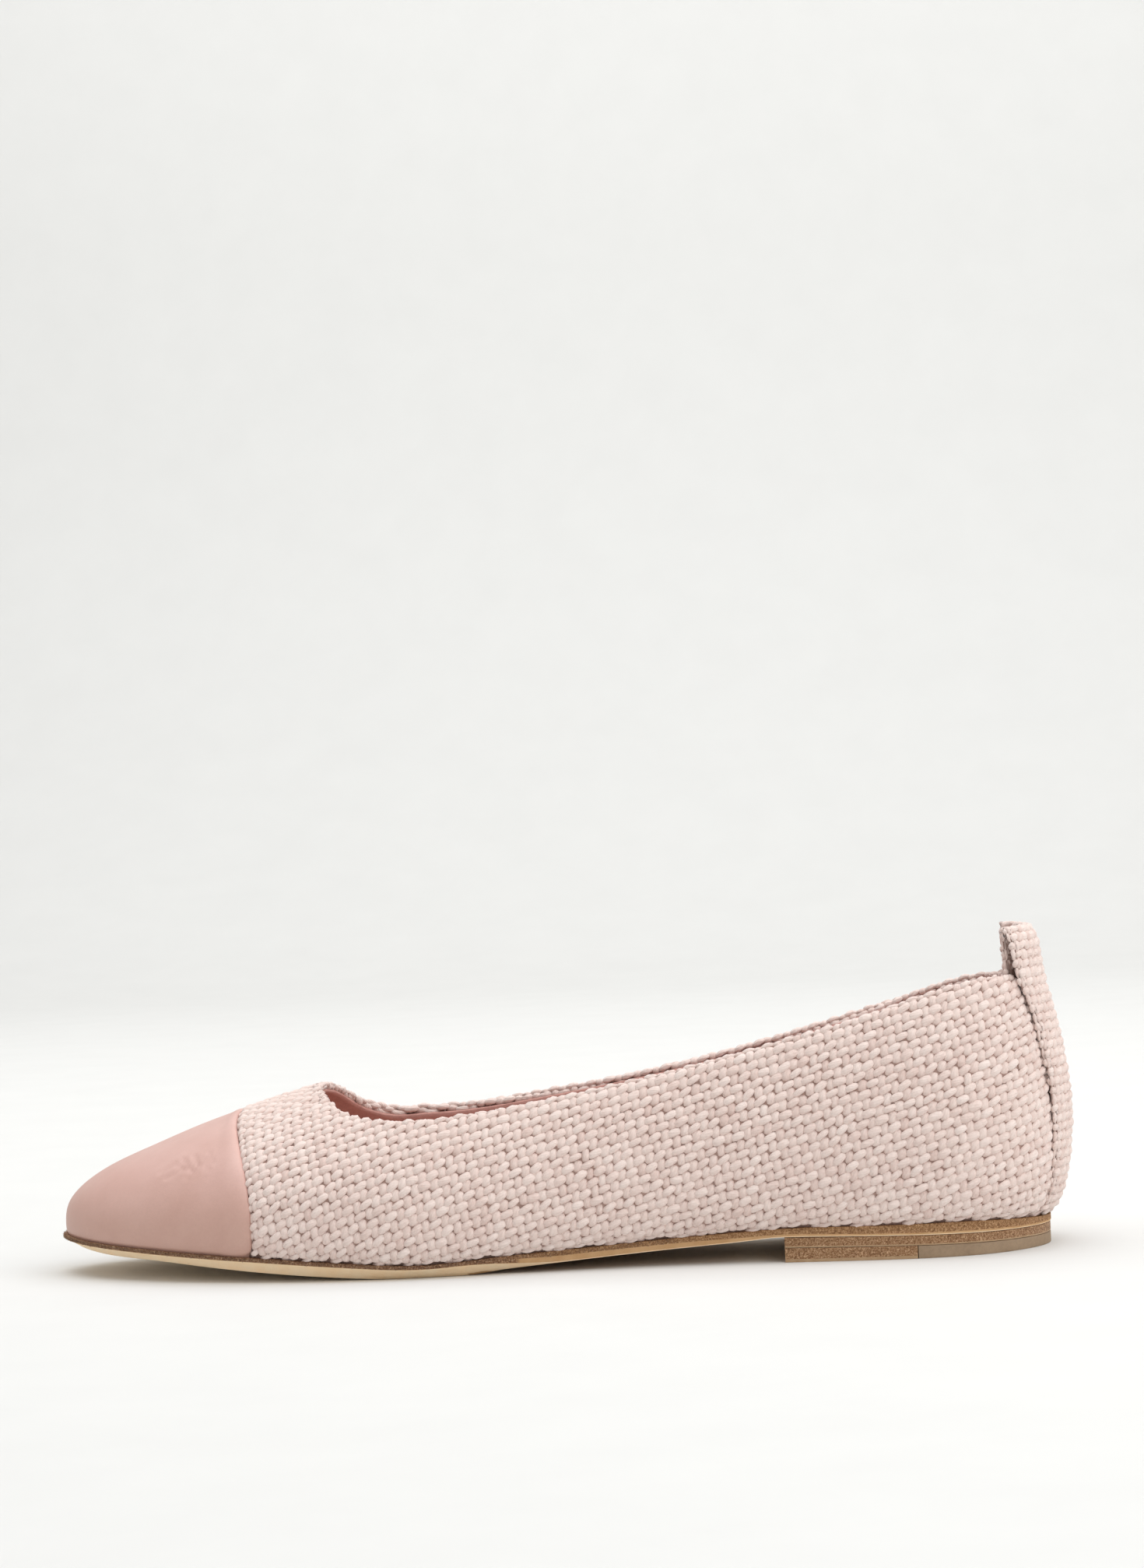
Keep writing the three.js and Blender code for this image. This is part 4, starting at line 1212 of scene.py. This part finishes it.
def heelPiece(name, fromX, toX, bottoms, tops, band):
    size = heelSize
    inset, r = size["inset"], size["round"]
    less = size["roundShare"] * r
    span = (last["soleToe"] + inset, last["soleHeel"] - inset)
    first, final = float(turnOf(min(toX, span[1]), *span)), float(turnOf(fromX, *span))
    sections = []
    for turn in np.linspace(first, final, size["stations"] + 1):
        x = float(placeOf(turn, *span))
        low, high = heelSlope(bottoms, x), heelSlope(tops, x)
        rings = [(inset + r, low), (inset + less, low + less), (inset, low + band),
                 (inset, low + band + size["fade"]), (inset, high - r),
                 (inset + less, high - less), (inset + r, high)]
        sections.append(soleSection(turn, rings, size["across"]))
    obj = loft(name, np.array(sections))
    x, _, z = toTables(obj).T
    setValues(obj, "zone", z > heelSlope(bottoms, x) + band + size["fade"] / 2)
    smooth(obj, size["smoothAngle"])
    return obj


def makeHeel():
    size = heelSize
    stacked = makeStacked(liftLook)
    breast, back, split, gap = size["breastX"], last["soleHeel"], size["splitX"], size["halfGap"]
    obj = heelPiece("heel_lift_leather", breast, back, size["liftBottom"], size["liftTop"], size["liftBand"])
    finishPiece(obj, stacked, "heel_lift")
    floor, tops = (0.0, 0.0), [z - size["gap"] for z in size["liftBottom"]]
    obj = heelPiece("top_piece_leather", breast, split - gap, floor, tops, size["frontBand"])
    finishPiece(obj, stacked, "top_piece_front")
    obj = heelPiece("top_piece_rubber", split + gap, back, floor, tops, size["rearBand"])
    finishPiece(obj, makeLeather("heel_rubber", rubberLook), "top_piece_rear")
    print("heel made")


makeHeel()

# sock over the insole

sockSize = {
    "thickness": 2.4, "inset": 1.9, "toeInset": 1.8, "toeX": -90.0, "toeRun": 20.0,
    "stations": 90, "across": 9, "smoothAngle": 45,
    "lowRound": 0.4, "bend": ((0.0, 0.5), (0.25, 0.12), (0.8, 0.0)),  # in from the edge and down from the top
}
sockLook = {
    "roughness": 0.62, "specular": 0.35, "cloudScale": 40, "grainScale": 1700, "grain": 0.2,
    "tones": ((206, 164, 152), (214, 173, 161), (221, 182, 170)),
}


def makeSock():
    size = sockSize
    sections = []
    for turn in np.linspace(0, math.pi, size["stations"] + 1):
        x = float(placeOf(turn, *soleSpan))
        inset = size["inset"] + size["toeInset"] * ease((size["toeX"] - x) / size["toeRun"])
        low, high = featherZ(x), featherZ(x) + size["thickness"]
        rings = [(inset + size["lowRound"], low), (inset, low + size["lowRound"])]
        rings += [(inset + way, high - down) for way, down in size["bend"]]
        sections.append(soleSection(turn, rings, size["across"]))
    obj = loft("insole_sock", np.array(sections))
    smooth(obj, size["smoothAngle"])
    finishPiece(obj, makeLeather("sock_leather", sockLook), "insole")
    print("sock made")


makeSock()

# heel strip with its pull loop

stripSize = {
    "footZ": 7.8, "startZ": 64.0, "loopZ": 72.8, "topZ": 78.8, "legZ": 56.0,
    "proud": 0.85, "loopDepth": 3.7, "legDepth": 4.7, "legEase": 2.2,
    "lean": 0.14, "levelRun": 4.0, "foldRise": 0.2, "foldRound": 0.8,
    "rows": 44, "bends": 10, "legRows": 12, "columns": 21, "edgeRound": 0.75, "edgeSteps": 6,
    "nearX": 96.0, "farTurn": 1.2, "middleGap": 0.02, "slopeGap": 0.4, "backRow": 5,
    "relief": 0.5, "groundDepth": 0.6, "groundThickness": 0.7,
    "warpPitch": 2.45, "weftPitch": 2.28, "seed": 23,
}


def tuckAt(turn, z, side):  # the side's place at a turn and a height, and its widest height
    wideZ = widestLine(turn)
    footX, footY = outlineAt(turn, side, last["featherInset"])
    tuck = tuckShare(turn, np.clip((wideZ - z) / (wideZ - featherZ(footX)), 0, 1))
    wideX, wideY = placeOf(turn, *upperSpan), widestY(turn, side)
    return wideX + (footX - wideX) * tuck, wideY + (footY - wideY) * tuck, wideZ


def backReach(y, z):  # how far back the last reaches at a distance from its middle and a height
    side = -1 if np.mean(y) < 0 else 1
    near, far = np.full(y.shape, stripSize["nearX"]), np.full(y.shape, last["upperHeel"])
    small, big = np.zeros(y.shape), np.full(y.shape, stripSize["farTurn"])
    for _ in range(34):
        middle, turn = (near + far) / 2, (small + big) / 2
        outside = np.abs(y) > np.abs(widestY(turnOf(middle, *upperSpan), side))
        above = ~outside & (domeZ(middle, y, side) > z)
        near, far = np.where(above, middle, near), np.where(above, far, middle)
        wide = np.abs(tuckAt(turn, z, side)[1]) > np.abs(y)
        small, big = np.where(wide, small, turn), np.where(wide, turn, big)
    lowX, _, wideZ = tuckAt((small + big) / 2, z, side)
    return np.where(z > wideZ, (near + far) / 2, lowX)


def backSurface(y, z):
    gap, middleGap = stripSize["slopeGap"], stripSize["middleGap"]
    y = np.where(np.abs(y) < middleGap, middleGap, y)
    spot, out = np.empty(y.shape + (3,)), np.empty(y.shape + (3,))
    for side, _ in sides:
        mask = y * side > 0
        ys, zs = y[mask], z[mask]
        x = backReach(ys, zs)
        towards = -np.sign(ys) * gap
        slopeY = (backReach(ys + towards, zs) - x) / towards
        slopeZ = (backReach(ys, zs + gap) - backReach(ys, zs - gap)) / (2 * gap)
        spot[mask] = np.stack([x, ys, zs], -1)
        out[mask] = unit(np.stack([np.ones_like(x), -slopeY, -slopeZ], -1))
    return spot, out


def bandPoint(y, depth, z):
    size = stripSize
    above = np.maximum(z - size["startZ"], 0)
    spot, out = backSurface(y, z - above)
    level = np.clip(1 - above / size["levelRun"], 0, 1)
    out = unit(out * np.stack([np.ones_like(level), np.ones_like(level), level], -1))
    return spot - out * depth[..., None] + np.stack([-size["lean"] * above, 0 * above, above], -1)


def stripPath():  # depth below the last and height, up the back, over the fold and down inside
    size = stripSize
    proud, loop, loopZ = size["proud"], size["loopDepth"], size["loopZ"]
    up = np.linspace(size["footZ"], loopZ, size["rows"])
    swing = np.linspace(0, math.pi, size["bends"] + 1)[1:-1]
    fold = (loop - proud) / 2 - (loop + proud) / 2 * np.cos(swing)
    over = loopZ + (size["topZ"] - loopZ + size["foldRise"]) * np.sin(swing) ** size["foldRound"]
    leg = np.linspace(0, 1, size["legRows"])
    inside = loop + (size["legDepth"] - loop) * ease(leg * size["legEase"])
    depth = np.concatenate([stripInset(up) - proud, fold, inside])
    return depth, np.concatenate([up, over, loopZ + (size["legZ"] - loopZ) * leg])


def bandBlock():
    size = stripSize
    depth, height = stripPath()
    r = size["edgeRound"]
    y = np.linspace(-1, 1, size["columns"])[:, None] * (stripHalf(height) - r)
    face = bandPoint(y, np.broadcast_to(depth, y.shape), np.broadcast_to(height, y.shape))
    outs = unit(np.cross(np.gradient(face, axis=0), np.gradient(face, axis=1)))
    if outs[size["columns"] // 2, size["backRow"], 0] < 0:
        outs = -outs
    edges = []
    for edge, beside in ((0, 1), (-1, -2)):
        away = unit(face[edge] - face[beside])
        turns = np.linspace(0, math.pi, size["edgeSteps"])[1:]
        edges.append([face[edge] + outs[edge] * r * (math.cos(a) - 1) + away * r * math.sin(a)
                      for a in turns])
    return np.concatenate([np.array(edges[0])[::-1], face, np.array(edges[1])], 0)


def bandFlat(band):  # flat places of the band's rows and columns, in millimetres
    middle = band.shape[0] // 2
    u = np.cumsum(np.linalg.norm(np.diff(band, axis=0), axis=-1), 0)
    u = np.concatenate([np.zeros((1, band.shape[1])), u], 0)
    u -= u[middle]
    v = np.cumsum(np.linalg.norm(np.diff(band[middle], axis=0), axis=-1))
    v = np.concatenate([[0], v])
    return np.stack([u, np.broadcast_to(v, u.shape)], -1)


def makeStrip():
    size = stripSize
    band = bandBlock()
    columns, rows = band.shape[:2]
    obj = gridPiece("heel_strip_cloth", band)
    if vertexNormals(obj).reshape(rows, columns, 3)[size["backRow"], columns // 2, 0] < 0:
        flip(obj)
    flat = bandFlat(band).transpose(1, 0, 2).reshape(-1, 2)  # the plane's corners run along its columns first
    sheet = {"at": meshArray(obj) / mm, "out": vertexNormals(obj), "tris": triangles(obj), "uv": flat}
    weave("heel_strip_weave", chart(sheet), size, "heel_strip", relief=size["relief"])
    finishGround(obj, size, "heel_strip")
    print("heel strip made")


makeStrip()

# floor, light and camera

stageSize = {"floor": 3.0, "wallAt": 1.2, "wallRound": 0.5, "wallTop": 2.5, "bends": 13, "across": 9}
paperLook = {"roughness": 0.9, "specular": 0.2, "scale": 30, "tones": ((223, 223, 221), (225, 225, 223))}
lights = {  # place, aim, width, height and power
    "top_light": ((-0.1, -0.15, 1.1), (0, 0, 0.02), 1.3, 1.0, 7.6),
    "back_light": ((0.0, 0.55, 1.0), (0, 0, 0.02), 1.6, 0.5, 2.6),
    "heel_light": ((0.8, -0.3, 0.8), (0.06, 0, 0.04), 0.8, 0.9, 5.6),
    "front_light": ((0.7, -1.1, 0.55), (0, 0, 0.03), 0.9, 0.7, 2.4),
    "toe_light": ((-1.1, -0.05, 0.35), (0, 0, 0.03), 0.8, 0.6, 1.3),
    "backdrop_light": ((0, 0.75, 1.3), (0, 1.7, 0.55), 2.6, 0.5, 14.0),
}
worldLook = {"Color": (1.0, 1.0, 0.995, 1.0), "Strength": 0.36}
cameraSize = {
    "place": (102.612, -945.692, 120.261), "yaw": 5.782, "pitch": 0.123, "roll": 2.541,
    "focalPixels": 4871.4, "imageHeight": 2014, "sensor": 36.0,
}


def makeFloor():
    size = stageSize
    at, bend = size["wallAt"], size["wallRound"]
    run = [(-size["floor"], 0.0)]
    for a in np.radians(np.linspace(-90, 0, size["bends"])):
        run.append((at + bend * math.cos(a), bend + bend * math.sin(a)))
    run.append((at + bend, size["wallTop"]))
    across = np.linspace(-size["floor"], size["floor"], size["across"])
    points = np.array([[(x, y, z) for y, z in run] for x in across]) / mm
    obj = gridPiece("floor", points + last["middle"])
    if vertexNormals(obj)[:, 2].mean() < 0:
        flip(obj)
    smooth(obj)
    material, tree, shader, coords = newMaterial("paper_floor", paperLook)
    tree.links.new(clouded(tree, coords, paperLook["scale"], paperLook["tones"]), shader["Base Color"])
    obj.data.materials.append(material)


def makeLights():
    deselect()
    for name, (place, aim, width, height, power) in lights.items():
        bpy.ops.object.light_add(type="AREA", location=place)
        lamp = bpy.context.object
        lamp.name = name
        lamp.data.shape = "RECTANGLE"
        lamp.data.size, lamp.data.size_y = width, height
        lamp.data.energy = power
        lamp.rotation_euler = Vector(np.subtract(aim, place)).to_track_quat("-Z", "Y").to_euler()
    world = bpy.data.worlds.new("studio")
    bpy.context.scene.world = world
    world.use_nodes = True
    for key, value in worldLook.items():
        world.node_tree.nodes["Background"].inputs[key].default_value = value


def makeCamera():
    size = cameraSize
    yaw, pitch, roll = (math.radians(size[key]) for key in ("yaw", "pitch", "roll"))
    ahead = np.array([-math.sin(yaw) * math.cos(pitch), math.cos(yaw) * math.cos(pitch), -math.sin(pitch)])
    right = np.array([math.cos(yaw), math.sin(yaw), 0.0])
    up = np.cross(right, ahead)
    axisX = right * math.cos(roll) - up * math.sin(roll)
    axisY = right * math.sin(roll) + up * math.cos(roll)
    deselect()
    bpy.ops.object.camera_add()
    camera = bpy.context.object
    turn = Matrix(np.stack([axisX, axisY, -ahead], 1).tolist()).to_4x4()
    camera.matrix_world = Matrix.Translation(np.array(size["place"]) * mm) @ turn
    camera.data.sensor_width = size["sensor"]
    camera.data.lens = size["focalPixels"] / size["imageHeight"] * size["sensor"]
    bpy.context.scene.camera = camera


makeFloor()
makeLights()
makeCamera()
bpy.context.scene.view_settings.view_transform = "Standard"
print("floor, light and camera made")
